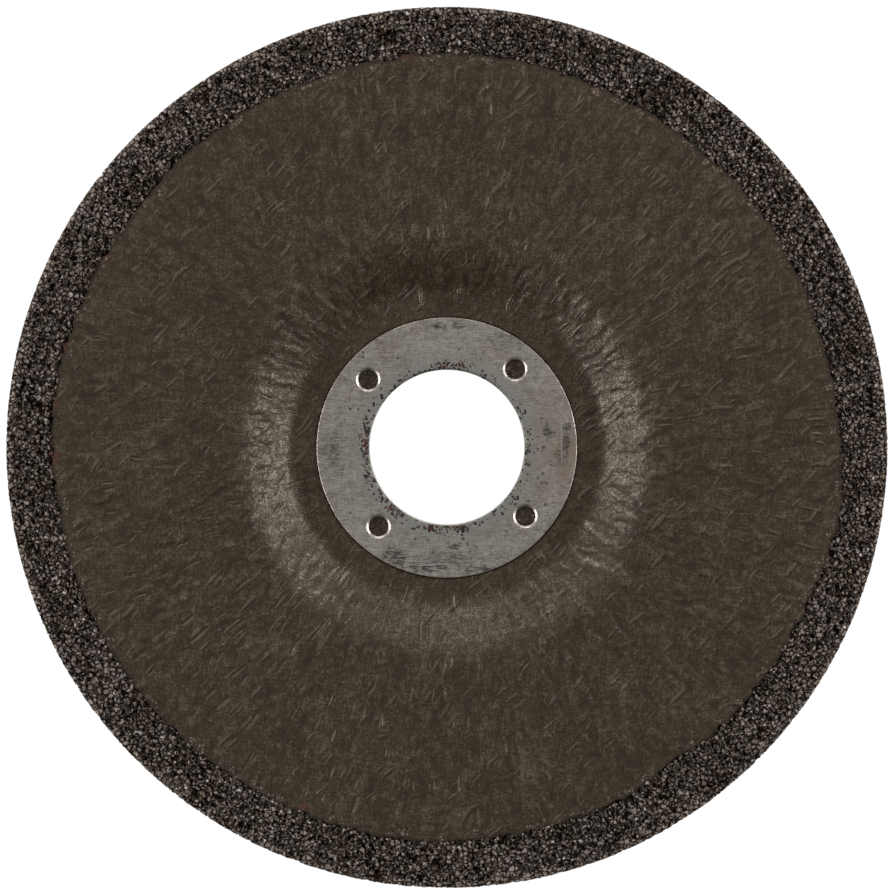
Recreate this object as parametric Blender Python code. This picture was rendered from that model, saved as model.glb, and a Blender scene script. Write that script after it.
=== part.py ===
"""Depressed-centre grinding disc, lying on the back of its hub with the recessed working side up.

A resin-bonded abrasive wheel is pressed in a dished mould round a stamped steel hub ring, with a thin
cover sheet over the recess, the shoulder and the working face. The origin is on the bore's axis at the
back of the hub, and +Z runs along the axis towards the working side.
"""

from math import cos, exp, pi, radians, sin, tan

import bmesh
import bpy
from mathutils import Matrix, Vector

MM = 0.001

# The wheel
DISC_DIAMETER = 125.0 * MM
WHEEL_THICKNESS = 6.0 * MM  # through the rim, and through the hub to the floor of the recess
HUB_OFFSET = 4.6 * MM  # from the working face back to the floor of the recess
FLOOR_LAND = 3.8 * MM  # across the floor of the recess, from the flange to the foot of the shoulder
SHOULDER_RUN = 6.5 * MM  # how far outward the shoulder climbs
SHOULDER_FOOT_ROUND = 3.2 * MM
SHOULDER_HEAD_ROUND = 6.6 * MM
BACK_FOOT_ROUND = 4.0 * MM
BACK_HEAD_ROUND = 3.0 * MM
RIM_FACE_ROUND = 1.0 * MM
RIM_BACK_ROUND = 0.6 * MM

# The cover sheet
SHEET_THICKNESS = 0.3 * MM
BARE_BAND_WIDTH = 6.95 * MM  # the bare abrasive between the sheet's edge and the rim
# Where the sheet's edge wanders: azimuth, how far it reaches past its circle, and half the width of the swell
EDGE_SWELLS = (
    (radians(19.0), -0.35 * MM, radians(9.0)),
    (radians(60.0), -0.20 * MM, radians(12.0)),
    (radians(93.0), 0.35 * MM, radians(12.0)),
    (radians(145.0), -0.35 * MM, radians(7.0)),
    (radians(172.0), 0.35 * MM, radians(9.0)),
    (radians(264.0), 0.30 * MM, radians(11.0)),
    (radians(306.0), -0.75 * MM, radians(7.0)),
    (radians(350.0), 0.80 * MM, radians(9.0)),
)

# The stamped hub ring
BORE_DIAMETER = 22.23 * MM
RING_THICKNESS = 0.6 * MM
FLANGE_DIAMETER = 37.2 * MM
FLANGE_EDGE_ROUND = 0.15 * MM
FLANGE_PROUD = 0.35 * MM  # how far the flange stands above the floor of the recess
COLLAR_SETBACK = 0.5 * MM  # from the back of the hub to the end of the collar
COLLAR_BEND = 0.3 * MM  # inside radius of the bend from flange to collar
HOLE_COUNT = 4
HOLE_DIAMETER = 2.9 * MM
HOLE_LIP_ROUND = 0.4 * MM
FIRST_HOLE_AZIMUTH = radians(49.0)

# Fits
FIT_GAP = 0.3 * MM  # between pieces that are pressed together
SEAT_STEP_RUN = 0.4 * MM  # how far outward the sheet climbs from under the flange
PUNCH_OVERRUN = 0.5 * MM  # how far the hole punch passes both faces of the flange

# Facets
WHEEL_SEGMENTS = 96
RING_SEGMENTS = 64
HOLE_SEGMENTS = 16
FOOT_STEPS = 2
HEAD_STEPS = 3
EDGE_STEPS = 2
LIP_STEPS = 3
SMOOTH_ANGLE = radians(30.0)

# Worked out from the sizes above
DISC_RADIUS = DISC_DIAMETER / 2
FLOOR_HEIGHT = WHEEL_THICKNESS
FACE_HEIGHT = FLOOR_HEIGHT + HUB_OFFSET
SHEET_RADIUS = DISC_RADIUS - BARE_BAND_WIDTH
COLLAR_INNER_RADIUS = BORE_DIAMETER / 2
COLLAR_OUTER_RADIUS = COLLAR_INNER_RADIUS + RING_THICKNESS
FLANGE_RADIUS = FLANGE_DIAMETER / 2
HOLE_CIRCLE_RADIUS = (COLLAR_INNER_RADIUS + FLANGE_RADIUS) / 2
FOOT_RADIUS = FLANGE_RADIUS + FLOOR_LAND
HEAD_RADIUS = FOOT_RADIUS + SHOULDER_RUN
FLANGE_TOP = FLOOR_HEIGHT + FLANGE_PROUD
FLANGE_UNDERSIDE = FLANGE_TOP - RING_THICKNESS
SEAT_HEIGHT = FLANGE_UNDERSIDE - FIT_GAP
SEAT_RADIUS = FLANGE_RADIUS + FIT_GAP
WHEEL_BORE_RADIUS = COLLAR_OUTER_RADIUS + FIT_GAP
SHEET_BORE_RADIUS = WHEEL_BORE_RADIUS + COLLAR_BEND


def edge_reach(azimuth):
    """How far the sheet's edge lies outside its circle at this azimuth."""
    reach = 0.0
    for centre, height, half_width in EDGE_SWELLS:
        apart = (azimuth - centre + pi) % (2 * pi) - pi
        reach += height * exp(-((apart / half_width) ** 2))
    return reach


def rounded_line(corners):
    """Points of a line through (radius, height, rounding, steps) corners, with an arc at each rounded one."""
    spots = [Vector(corner[:2]) for corner in corners]
    line = []
    for i, (_, _, rounding, steps) in enumerate(corners):
        if not rounding or i in (0, len(corners) - 1):
            line.append(spots[i])
            continue
        back, ahead = spots[i - 1] - spots[i], spots[i + 1] - spots[i]
        half_turn = (pi - back.angle(ahead)) / 2
        longest = min(back.length, ahead.length) / 2
        tangent = min(rounding * tan(half_turn), longest)
        radius = tangent / tan(half_turn)
        start = spots[i] + back.normalized() * tangent
        inward = (back.normalized() + ahead.normalized()).normalized()
        centre = spots[i] + inward * radius / cos(half_turn)
        turn = 2 * half_turn if back.cross(ahead) < 0 else -2 * half_turn
        for step in range(steps + 1):
            line.append(centre + Matrix.Rotation(turn * step / steps, 2) @ (start - centre))
    return line


def parallel_line(line, distance):
    """The line moved sideways by a distance, downward where it runs outward."""
    sides = []
    for start, end in zip(line, line[1:]):
        along = (end - start).normalized()
        sides.append(Vector((along.y, -along.x)))
    moved = []
    for i, point in enumerate(line):
        before = sides[max(i - 1, 0)]
        after = sides[min(i, len(sides) - 1)]
        middle = (before + after).normalized()
        moved.append(point + middle * distance / middle.dot(after))
    return moved


def sheet_face_line():
    """The sheet's visible face, from its bore over the seat of the flange, the floor and the shoulder."""
    return rounded_line(
        [
            (SHEET_BORE_RADIUS, SEAT_HEIGHT, 0, 0),
            (SEAT_RADIUS, SEAT_HEIGHT, 0, 0),
            (SEAT_RADIUS + SEAT_STEP_RUN, FLOOR_HEIGHT, 0, 0),
            (FOOT_RADIUS, FLOOR_HEIGHT, SHOULDER_FOOT_ROUND, FOOT_STEPS),
            (HEAD_RADIUS, FACE_HEIGHT, SHOULDER_HEAD_ROUND, HEAD_STEPS),
            (SHEET_RADIUS, FACE_HEIGHT, 0, 0),
        ]
    )


def back_line():
    """The wheel's outer edge and back, from the working face round the rim to the bore."""
    dish = [
        Vector((WHEEL_BORE_RADIUS, FLOOR_HEIGHT)),
        Vector((FOOT_RADIUS, FLOOR_HEIGHT)),
        Vector((HEAD_RADIUS, FACE_HEIGHT)),
        Vector((DISC_RADIUS, FACE_HEIGHT)),
    ]
    hub, foot, head, rim = parallel_line(dish, WHEEL_THICKNESS)
    return rounded_line(
        [
            (SHEET_RADIUS + FIT_GAP, FACE_HEIGHT, 0, 0),
            (DISC_RADIUS, FACE_HEIGHT, RIM_FACE_ROUND, EDGE_STEPS),
            (rim.x, rim.y, RIM_BACK_ROUND, EDGE_STEPS),
            (head.x, head.y, BACK_HEAD_ROUND, FOOT_STEPS),
            (foot.x, foot.y, BACK_FOOT_ROUND, FOOT_STEPS),
            (hub.x, hub.y, 0, 0),
        ]
    )


def ring_of_points(bm, radius, height, segments, reach=None, centre=(0.0, 0.0)):
    """One ring of points about an upright axis, with reach(azimuth) added to its radius."""
    ring = []
    for i in range(segments):
        azimuth = 2 * pi * i / segments
        r = radius + (reach(azimuth) if reach else 0.0)
        ring.append(bm.verts.new((centre[0] + r * cos(azimuth), centre[1] + r * sin(azimuth), height)))
    return ring


def skin(bm, rings, closed):
    """Faces between neighbouring rings. A closed run joins its last ring to its first, an open one is capped."""
    pairs = list(zip(rings, rings[1:]))
    if closed:
        pairs.append((rings[-1], rings[0]))
    else:
        bm.faces.new(rings[0])
        bm.faces.new(rings[-1])
    for first, second in pairs:
        for i in range(len(first)):
            j = (i + 1) % len(first)
            bm.faces.new((first[i], first[j], second[j], second[i]))


def finish_object(name, bm, material):
    """Turn a bmesh into a named object that is shaded smooth, with its faces pointing out."""
    bmesh.ops.recalc_face_normals(bm, faces=bm.faces)
    mesh = bpy.data.meshes.new(name)
    bm.to_mesh(mesh)
    bm.free()
    mesh.shade_smooth()
    mesh.set_sharp_from_angle(angle=SMOOTH_ANGLE)
    if material:
        mesh.materials.append(material)
    piece = bpy.data.objects.new(name, mesh)
    bpy.context.scene.collection.objects.link(piece)
    return piece


def new_material(name, colour, roughness, metallic):
    material = bpy.data.materials.new(name)
    material.use_nodes = True
    shader = material.node_tree.nodes["Principled BSDF"]
    shader.inputs["Base Color"].default_value = (*colour, 1.0)
    shader.inputs["Roughness"].default_value = roughness
    shader.inputs["Metallic"].default_value = metallic
    return material


def build_abrasive_body():
    """The dished wheel, with a shallow bed for the sheet that ends in a wall along the sheet's edge."""
    bed = parallel_line(sheet_face_line(), SHEET_THICKNESS + FIT_GAP)
    bed[0].x = WHEEL_BORE_RADIUS
    bed[-1].x = SHEET_RADIUS + FIT_GAP
    outside = back_line()
    bm = bmesh.new()
    rings = []
    for point in bed + outside:
        along_edge = point is bed[-1] or point is outside[0]
        reach = edge_reach if along_edge else None
        rings.append(ring_of_points(bm, point.x, point.y, WHEEL_SEGMENTS, reach))
    skin(bm, rings, closed=True)
    grit = new_material("abrasive", (0.042, 0.033, 0.027), 0.75, 0.0)
    return finish_object("abrasive_body", bm, grit)


def build_cover_sheet():
    """The thin formed sheet, with its wandering outer edge."""
    face = sheet_face_line()
    back = parallel_line(face, SHEET_THICKNESS)
    bm = bmesh.new()
    rings = []
    for line in (face, list(reversed(back))):
        for point in line:
            along_edge = point is face[-1] or point is back[-1]
            reach = edge_reach if along_edge else None
            rings.append(ring_of_points(bm, point.x, point.y, WHEEL_SEGMENTS, reach))
    skin(bm, rings, closed=True)
    fibre = new_material("cover", (0.051, 0.040, 0.028), 0.6, 0.0)
    return finish_object("cover_sheet", bm, fibre)


def build_hole_punches():
    """The tools that cut the flange's holes, flared so that each hole has a rounded lip."""
    radius = HOLE_DIAMETER / 2
    lip = min(HOLE_LIP_ROUND, RING_THICKNESS)
    line = [Vector((radius, FLANGE_UNDERSIDE - PUNCH_OVERRUN))]
    for step in range(LIP_STEPS + 1):
        angle = pi / 2 * step / LIP_STEPS
        line.append(Vector((radius + lip * (1 - cos(angle)), FLANGE_TOP - lip * (1 - sin(angle)))))
    last_chord = line[-1] - line[-2]
    line[-1] += last_chord * PUNCH_OVERRUN / last_chord.length
    bm = bmesh.new()
    for hole in range(HOLE_COUNT):
        azimuth = FIRST_HOLE_AZIMUTH + 2 * pi * hole / HOLE_COUNT
        centre = (HOLE_CIRCLE_RADIUS * cos(azimuth), HOLE_CIRCLE_RADIUS * sin(azimuth))
        rings = [ring_of_points(bm, point.x, point.y, HOLE_SEGMENTS, centre=centre) for point in line]
        skin(bm, rings, closed=False)
    punches = finish_object("hole_punches", bm, None)
    punches.hide_render = True
    punches.display_type = "WIRE"
    return punches


def build_hub_ring():
    """The stamped ring: a flat flange drawn down into the collar that lines the bore, with punched holes."""
    outer_bend = COLLAR_BEND + RING_THICKNESS
    section = rounded_line(
        [
            (COLLAR_OUTER_RADIUS, COLLAR_SETBACK, 0, 0),
            (COLLAR_OUTER_RADIUS, FLANGE_UNDERSIDE, COLLAR_BEND, EDGE_STEPS),
            (FLANGE_RADIUS, FLANGE_UNDERSIDE, 0, 0),
        ]
    )
    section += rounded_line(
        [
            (FLANGE_RADIUS, FLANGE_UNDERSIDE + RING_THICKNESS / 2, 0, 0),
            (FLANGE_RADIUS, FLANGE_TOP, FLANGE_EDGE_ROUND, EDGE_STEPS),
            (COLLAR_INNER_RADIUS, FLANGE_TOP, outer_bend, HEAD_STEPS),
            (COLLAR_INNER_RADIUS, COLLAR_SETBACK, 0, 0),
        ]
    )[1:]
    bm = bmesh.new()
    rings = [ring_of_points(bm, point.x, point.y, RING_SEGMENTS) for point in section]
    skin(bm, rings, closed=True)
    steel = new_material("ring_steel", (0.48, 0.46, 0.43), 0.4, 1.0)
    ring = finish_object("hub_ring", bm, steel)
    cut = ring.modifiers.new("grip holes", "BOOLEAN")
    cut.operation = "DIFFERENCE"
    cut.solver = "EXACT"
    cut.object = build_hole_punches()
    return ring


def main():
    for old in list(bpy.data.objects):
        bpy.data.objects.remove(old, do_unlink=True)
    build_abrasive_body()
    build_cover_sheet()
    build_hub_ring()


main()
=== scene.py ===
"""The grinding disc's looks: coarse pressed grain, a wrinkled cover sheet and a brushed steel hub ring.

Run as a script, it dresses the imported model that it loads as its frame. It is laid out as an add-on, with
one operator for each group of pieces and one for the studio, and a panel that lists them.
"""

from itertools import product

import bmesh
import bpy
import numpy as np
from bpy.props import FloatProperty, FloatVectorProperty, IntProperty, PointerProperty
from mathutils import Matrix, Vector


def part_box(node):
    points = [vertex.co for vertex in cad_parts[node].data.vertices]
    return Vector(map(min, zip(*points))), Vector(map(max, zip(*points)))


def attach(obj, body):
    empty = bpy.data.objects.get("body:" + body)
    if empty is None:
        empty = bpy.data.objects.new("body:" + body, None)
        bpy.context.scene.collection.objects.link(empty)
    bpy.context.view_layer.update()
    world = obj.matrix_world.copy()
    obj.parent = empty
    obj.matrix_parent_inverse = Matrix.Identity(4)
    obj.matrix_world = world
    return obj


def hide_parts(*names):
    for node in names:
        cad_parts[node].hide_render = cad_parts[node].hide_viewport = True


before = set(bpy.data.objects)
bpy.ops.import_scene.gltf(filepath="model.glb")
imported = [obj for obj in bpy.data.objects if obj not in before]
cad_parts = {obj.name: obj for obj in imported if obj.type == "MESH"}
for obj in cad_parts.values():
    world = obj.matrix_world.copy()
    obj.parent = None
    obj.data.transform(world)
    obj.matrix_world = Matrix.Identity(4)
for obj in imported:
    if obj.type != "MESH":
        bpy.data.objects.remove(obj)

bl_info = {
    "name": "Grinding Disc Dresser",
    "version": (1, 0, 0),
    "blender": (4, 5, 0),
    "location": "3D View > Sidebar > Grinding Disc",
    "description": "Builds the grain, the cover sheet and the hub ring of a depressed-centre grinding disc",
    "category": "Object",
}

MM = 0.001
TURN = 2 * np.pi

# Sizes in millimetres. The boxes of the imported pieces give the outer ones.
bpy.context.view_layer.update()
BODY_LOW, BODY_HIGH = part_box("abrasive_body")
RING_LOW, RING_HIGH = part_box("hub_ring")
DISC_RADIUS = BODY_HIGH.x / MM
FACE_HEIGHT = BODY_HIGH.z / MM
FLANGE_RADIUS = RING_HIGH.x / MM
FLANGE_TOP = RING_HIGH.z / MM
COLLAR_END = RING_LOW.z / MM
WHEEL_THICKNESS = 6.0
FLOOR_HEIGHT = 6.0
BACK_HEIGHT = FACE_HEIGHT - WHEEL_THICKNESS
FOOT_RADIUS = 22.4
HEAD_RADIUS = 28.9
SHEET_RADIUS = 55.55
SHEET_THICKNESS = 0.3
FIT_GAP = 0.3
BORE_RADIUS = 11.115
STEEL_THICKNESS = 0.6
WHEEL_BORE_RADIUS = BORE_RADIUS + STEEL_THICKNESS + FIT_GAP
HOLE_COUNT = 4
HOLE_CIRCLE_RADIUS = (BORE_RADIUS + FLANGE_RADIUS) / 2
FIRST_HOLE_AZIMUTH = np.radians(49.0)
BACK_HEAD_RADIUS = 30.83
BACK_FOOT_RADIUS = 24.33
BACK_EDGE_WIDTH = 4.0
BACK_SPLIT_RADIUS = 31.0
CORNER_ROUNDING = 1.0
BED_HEIGHT = 5.15

# How far apart the points of each surface lie, in millimetres
FACE_SPACING = 0.178
EDGE_SPACING = 0.26
BACK_SPACING = 0.46

# The square grid that the sheet's folds are pressed into, in millimetres
RELIEF_HALF_WIDTH = 57.5
RELIEF_STEP = 0.14

# A map of a piece laid flat has its axis here, and its rim this far out
MAP_MIDDLE = 0.5
MAP_REACH = 0.49

# The floor shows less white between these two rings beneath the disc. Each fades over a stretch, in metres.
INNER_FADE = (0.014, 0.024)
OUTER_FADE = (0.048, 0.063)

# Soft boxes: azimuth and elevation in degrees, distance, width and height in metres, share of full brightness
SOFT_BOXES = {
    "right_softbox": (8.0, 25.0, 0.9, 0.74, 0.30, 1.0),
    "left_softbox": (186.0, 25.0, 0.9, 0.72, 0.30, 1.0),
    "top_softbox": (94.0, 24.0, 1.0, 0.90, 0.30, 0.41),
}

# Where the sheet's edge swells out or draws in: azimuth, reach, and half the width of the swell
EDGE_SWELLS = (
    (19.0, -0.35, 9.0),
    (60.0, -0.20, 12.0),
    (93.0, 0.35, 12.0),
    (145.0, -0.35, 7.0),
    (172.0, 0.35, 9.0),
    (264.0, 0.30, 11.0),
    (306.0, -0.75, 7.0),
    (350.0, 0.80, 9.0),
)

# Folds that stand out on the sheet: x, y, direction in degrees, length, width, height.
# A negative height makes a crease.
NAMED_FOLDS = (
    (22.2, 12.6, 38.0, 3.4, 0.26, 0.07),
    (22.6, 11.5, 42.0, 3.8, 0.24, -0.08),
    (24.8, 8.4, 40.0, 2.2, 0.40, 0.08),
    (27.2, 5.2, 35.0, 3.0, 0.30, -0.07),
    (25.6, 1.2, 45.0, 2.4, 0.42, 0.09),
    (30.2, -4.0, 5.0, 3.4, 0.24, 0.07),
    (27.0, -7.8, 96.0, 1.3, 0.26, -0.12),
    (24.7, -9.8, 4.0, 2.8, 0.24, -0.07),
    (28.9, 8.2, 100.0, 1.2, 0.26, -0.12),
    (31.8, 5.2, 60.0, 0.8, 0.26, -0.12),
    (31.6, 3.8, 30.0, 0.7, 0.26, -0.12),
    (36.8, 9.4, 30.0, 1.6, 0.26, -0.07),
    (-26.9, 13.6, 1.0, 5.6, 0.30, 0.08),
    (-29.6, 5.3, 4.0, 5.2, 0.30, 0.07),
    (-27.5, -4.5, 8.0, 2.9, 0.22, -0.11),
    (-25.4, -5.2, -38.0, 2.5, 0.22, -0.11),
    (-28.2, -4.5, 30.0, 1.2, 0.24, 0.09),
    (-24.5, -7.7, 80.0, 0.8, 0.30, 0.10),
    (-32.3, -6.6, 3.0, 3.6, 0.24, -0.07),
    (-30.6, 2.2, 10.0, 1.3, 0.30, -0.09),
    (-28.9, -8.7, 78.0, 1.4, 0.24, -0.09),
    (-21.5, 15.2, -31.0, 5.2, 0.28, 0.06),
    (-20.7, 4.6, 88.0, 1.4, 0.26, 0.06),
    (-19.6, 2.2, 80.0, 1.2, 0.26, 0.06),
    (21.5, 23.0, 50.0, 5.0, 0.30, 0.07),
    (24.0, 20.4, 52.0, 4.2, 0.28, -0.06),
    (18.6, 20.6, 55.0, 4.4, 0.30, 0.06),
    (26.6, 17.4, 46.0, 4.6, 0.28, 0.07),
    (-7.4, 16.6, 74.0, 4.0, 0.26, 0.05),
    (-24.2, -19.4, 48.0, 2.4, 0.30, 0.06),
    (-18.7, 22.0, -56.0, 4.0, 0.34, 0.12),
    (-21.6, 19.6, -48.0, 4.2, 0.36, 0.12),
    (-24.6, 17.2, -40.0, 4.4, 0.34, 0.11),
    (-16.4, 24.0, -62.0, 3.0, 0.28, 0.09),
    (-20.2, 20.9, -52.0, 3.0, 0.26, -0.09),
    (-23.2, 18.2, -45.0, 3.0, 0.26, -0.09),
    (4.1, 26.9, 63.0, 2.4, 0.24, 0.09),
    (6.2, 31.6, 52.0, 3.2, 0.24, 0.08),
    (9.7, 28.6, 62.0, 2.5, 0.24, 0.09),
    (12.7, 25.3, 55.0, 3.0, 0.24, 0.09),
    (13.2, 30.6, 66.0, 4.4, 0.24, 0.05),
    (16.7, 21.6, 45.0, 2.4, 0.26, 0.08),
    (15.6, 26.3, 50.0, 4.6, 0.28, 0.05),
    (10.9, 22.4, 50.0, 2.8, 0.24, 0.05),
    (-0.9, 33.9, 86.0, 2.0, 0.24, 0.10),
    (-0.2, 34.1, 88.0, 1.6, 0.22, 0.08),
    (-4.1, 43.7, 90.0, 1.8, 0.22, 0.08),
    (-8.6, 38.1, 82.0, 2.4, 0.24, 0.08),
    (-2.7, 40.1, 88.0, 2.0, 0.24, 0.07),
    (-8.0, 35.4, 88.0, 2.2, 0.24, 0.06),
    (-13.7, 43.2, 86.0, 2.2, 0.24, 0.07),
    (-6.6, 49.1, 85.0, 1.6, 0.22, 0.06),
    (-16.1, 49.3, 88.0, 1.8, 0.24, 0.06),
    (-10.3, 30.0, 80.0, 1.4, 0.22, 0.07),
    (-6.9, 28.2, 55.0, 2.0, 0.24, -0.10),
    (-3.3, 32.2, 50.0, 2.0, 0.26, -0.08),
    (-8.4, 26.8, 75.0, 1.4, 0.24, -0.10),
    (-37.3, -25.1, 45.0, 3.6, 0.26, 0.08),
    (-30.2, -32.2, 35.0, 3.0, 0.26, 0.07),
    (-24.2, -28.4, 45.0, 3.2, 0.26, 0.06),
    (-45.4, -27.7, 50.0, 1.8, 0.24, 0.08),
    (-12.9, -32.7, 65.0, 1.6, 0.22, 0.09),
    (-12.3, -32.8, 65.0, 1.4, 0.22, 0.09),
    (-3.3, -31.5, 86.0, 2.2, 0.24, 0.09),
    (-2.6, -31.3, 84.0, 1.8, 0.22, 0.07),
    (-7.6, -28.0, 84.0, 2.2, 0.24, 0.06),
    (-18.1, -22.0, 30.0, 1.4, 0.28, 0.08),
    (-26.6, -38.9, 60.0, 1.6, 0.24, 0.07),
    (-14.3, -40.3, 75.0, 1.4, 0.22, 0.07),
    (-19.2, -38.6, 50.0, 1.4, 0.22, 0.07),
    (-20.9, -27.3, 60.0, 1.4, 0.24, 0.06),
)

# Hazy pale marks on the sheet: x, y, direction in degrees, length, width
PALE_MARKS = (
    (28.0, 42.3, 42.0, 5.2, 1.9),
    (-13.3, 45.8, 80.0, 2.2, 1.4),
    (1.8, -52.8, 120.0, 4.0, 1.6),
    (-0.8, 33.8, 88.0, 3.0, 1.8),
    (-3.4, 42.0, 88.0, 5.0, 1.4),
    (-8.3, 36.8, 86.0, 5.0, 1.2),
    (-3.0, -31.4, 85.0, 3.4, 2.0),
    (-19.4, -21.6, 40.0, 3.0, 1.6),
    (10.0, -43.0, 100.0, 5.0, 2.4),
)

# Reddish spots on the face: x, y, radius
RUST_SPOTS = (
    (-5.9, 55.6, 1.0),
    (-13.3, 54.8, 0.9),
    (-55.4, 5.9, 0.9),
    (-55.7, -1.5, 1.2),
    (-53.9, 14.4, 0.8),
    (53.8, 14.0, 0.9),
    (39.2, 48.1, 0.7),
    (-48.2, 27.5, 0.9),
    (-20.1, -50.8, 0.7),
)

# Brown patches of bare resin on the rim: x, y, radius
BROWN_PATCHES = (
    (-8.7, 58.3, 1.5),
    (-34.6, 49.9, 1.4),
    (-10.0, -60.5, 1.5),
    (-1.2, -59.2, 1.2),
    (57.6, 14.8, 1.6),
    (20.4, 56.4, 1.8),
    (47.6, 35.6, 1.4),
    (-58.6, 6.4, 1.6),
    (-38.3, -44.6, 1.3),
    (38.6, -46.5, 1.5),
)

# Dark smudges on the ring: centre x, y, reach x, y, strength
RING_SMUDGES = (
    (-16.3, -0.8, 1.9, 2.7, 0.55),
    (-15.2, -3.0, 0.9, 0.9, 0.45),
    (14.5, 2.1, 0.8, 1.2, 0.85),
    (16.9, 0.8, 0.7, 2.4, 0.80),
    (16.4, -1.4, 0.9, 1.4, 0.55),
    (17.4, 3.2, 0.5, 0.9, 0.70),
    (-7.4, -15.8, 1.9, 1.7, 0.80),
    (-2.6, -17.1, 3.8, 0.8, 0.90),
    (1.2, -14.1, 1.2, 0.8, 0.90),
    (4.2, -17.2, 2.6, 0.8, 0.75),
    (0.4, -15.8, 5.0, 1.6, 0.50),
    (7.4, -15.6, 1.8, 1.2, 0.40),
    (-1.1, 17.3, 1.4, 0.8, 0.75),
    (1.7, 17.6, 0.9, 0.8, 0.70),
    (8.2, 15.0, 2.6, 1.3, 0.40),
    (-12.6, 13.1, 1.0, 0.6, 0.25),
)

# Rusty specks crowd here round the bore: centre x, y, reach x, y, strength
RING_RUST = (
    (0.9, 11.9, 3.4, 0.9, 1.0),
    (-7.9, -8.1, 2.4, 2.2, 1.0),
    (-0.6, -11.9, 4.2, 1.0, 1.0),
    (-11.9, 1.0, 0.9, 3.8, 0.9),
    (-11.6, -3.6, 0.9, 1.6, 0.9),
)

# Dark specks crowd here, away from the bore: centre x, y, reach x, y, strength
RING_SPECKLED = (
    (13.6, -0.6, 2.2, 4.6, 1.0),
    (15.6, -0.4, 1.4, 3.4, 0.6),
    (13.0, 5.0, 1.0, 2.6, 0.4),
    (12.9, 11.4, 0.5, 0.4, 0.3),
    (8.0, -10.6, 1.8, 1.2, 0.5),
    (-14.0, 3.6, 1.4, 2.4, 0.2),
)

# Faint brown stains: centre x, y, reach x, y, strength
RING_STAINS = (
    (14.8, 1.0, 3.4, 8.0, 0.45),
    (16.9, -1.2, 1.7, 5.4, 0.9),
    (14.0, -5.2, 2.0, 1.8, 0.5),
    (7.6, 13.4, 1.0, 0.7, 0.7),
    (5.9, 13.9, 0.7, 0.5, 0.4),
)

# Scratches across the ring: centre x, y, direction in degrees, length, width, strength
RING_SCRATCHES = (
    (16.35, 1.6, 90.0, 10.4, 0.10, 0.7),
    (-13.1, -4.0, 104.0, 1.9, 0.16, 1.0),
    (-13.5, -3.3, 100.0, 1.0, 0.12, 0.6),
    (16.4, 6.2, 92.0, 0.8, 0.22, 1.0),
    (-2.4, -16.7, 3.0, 6.0, 0.10, 0.7),
    (-1.0, -17.4, -4.0, 4.6, 0.10, 0.6),
    (4.9, -16.6, 8.0, 3.6, 0.10, 0.5),
)


# Every effect below passes a seed of its own, so that no two of them line up.
def scatter(cells, seed):
    """A repeatable number from 0 to 1 for each row of whole numbers."""
    whole = np.asarray(cells).astype(np.int64).astype(np.uint32)
    total = np.full(whole.shape[:-1], (seed * 2654435761 + 97) % 2**32, dtype=np.uint32)
    for axis, factor in zip(range(whole.shape[-1]), (2654435761, 2246822519, 3266489917)):
        total = total ^ (whole[..., axis] * np.uint32(factor))
        total = (total ^ (total >> np.uint32(15))) * np.uint32(739982445)
        total = total ^ (total >> np.uint32(12))
    total = (total ^ (total >> np.uint32(15))) * np.uint32(695872825)
    return (total ^ (total >> np.uint32(15))) / 2.0**32


def soft_noise(points, seed):
    """Soft lumps about one unit wide, from -1 to 1."""
    base = np.floor(points)
    part = points - base
    part = part**3 * (part * (part * 6 - 15) + 10)
    total = 0.0
    for corner in product((0, 1), repeat=points.shape[-1]):
        weight = np.prod(np.where(np.array(corner, dtype=bool), part, 1 - part), axis=-1)
        total = total + weight * scatter(base + corner, seed)
    return total * 2 - 1


def layered_noise(points, seed, layers):
    """Lumps with smaller lumps on them, each layer half as wide and half as high."""
    total, height = 0.0, 1.0
    for layer in range(layers):
        total = total + height * soft_noise(points * 2.0**layer, seed + layer)
        height *= 0.5
    return total


def ease(low, high, value):
    """0 below low, 1 above high and a smooth rise between them."""
    t = np.clip((value - low) / (high - low), 0.0, 1.0)
    return t * t * (3 - 2 * t)


def grains_at(points, seed):
    """Each point's place inside its grain, its distance from the grain's border, and the grain's cell."""
    base = np.floor(points)
    nearest = np.full(len(points), 9.0)
    second = nearest.copy()
    middle = np.zeros_like(points)
    cell = base.copy()
    for step in product((-1, 0, 1), repeat=3):
        here = base + step
        spot = here + np.stack([scatter(here, seed + axis) for axis in range(3)], axis=-1)
        gap = np.linalg.norm(points - spot, axis=1)
        closer = gap < nearest
        second = np.where(closer, nearest, np.minimum(second, gap))
        nearest = np.where(closer, gap, nearest)
        middle[closer] = spot[closer]
        cell[closer] = here[closer]
    return points - middle, second - nearest, cell


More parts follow.
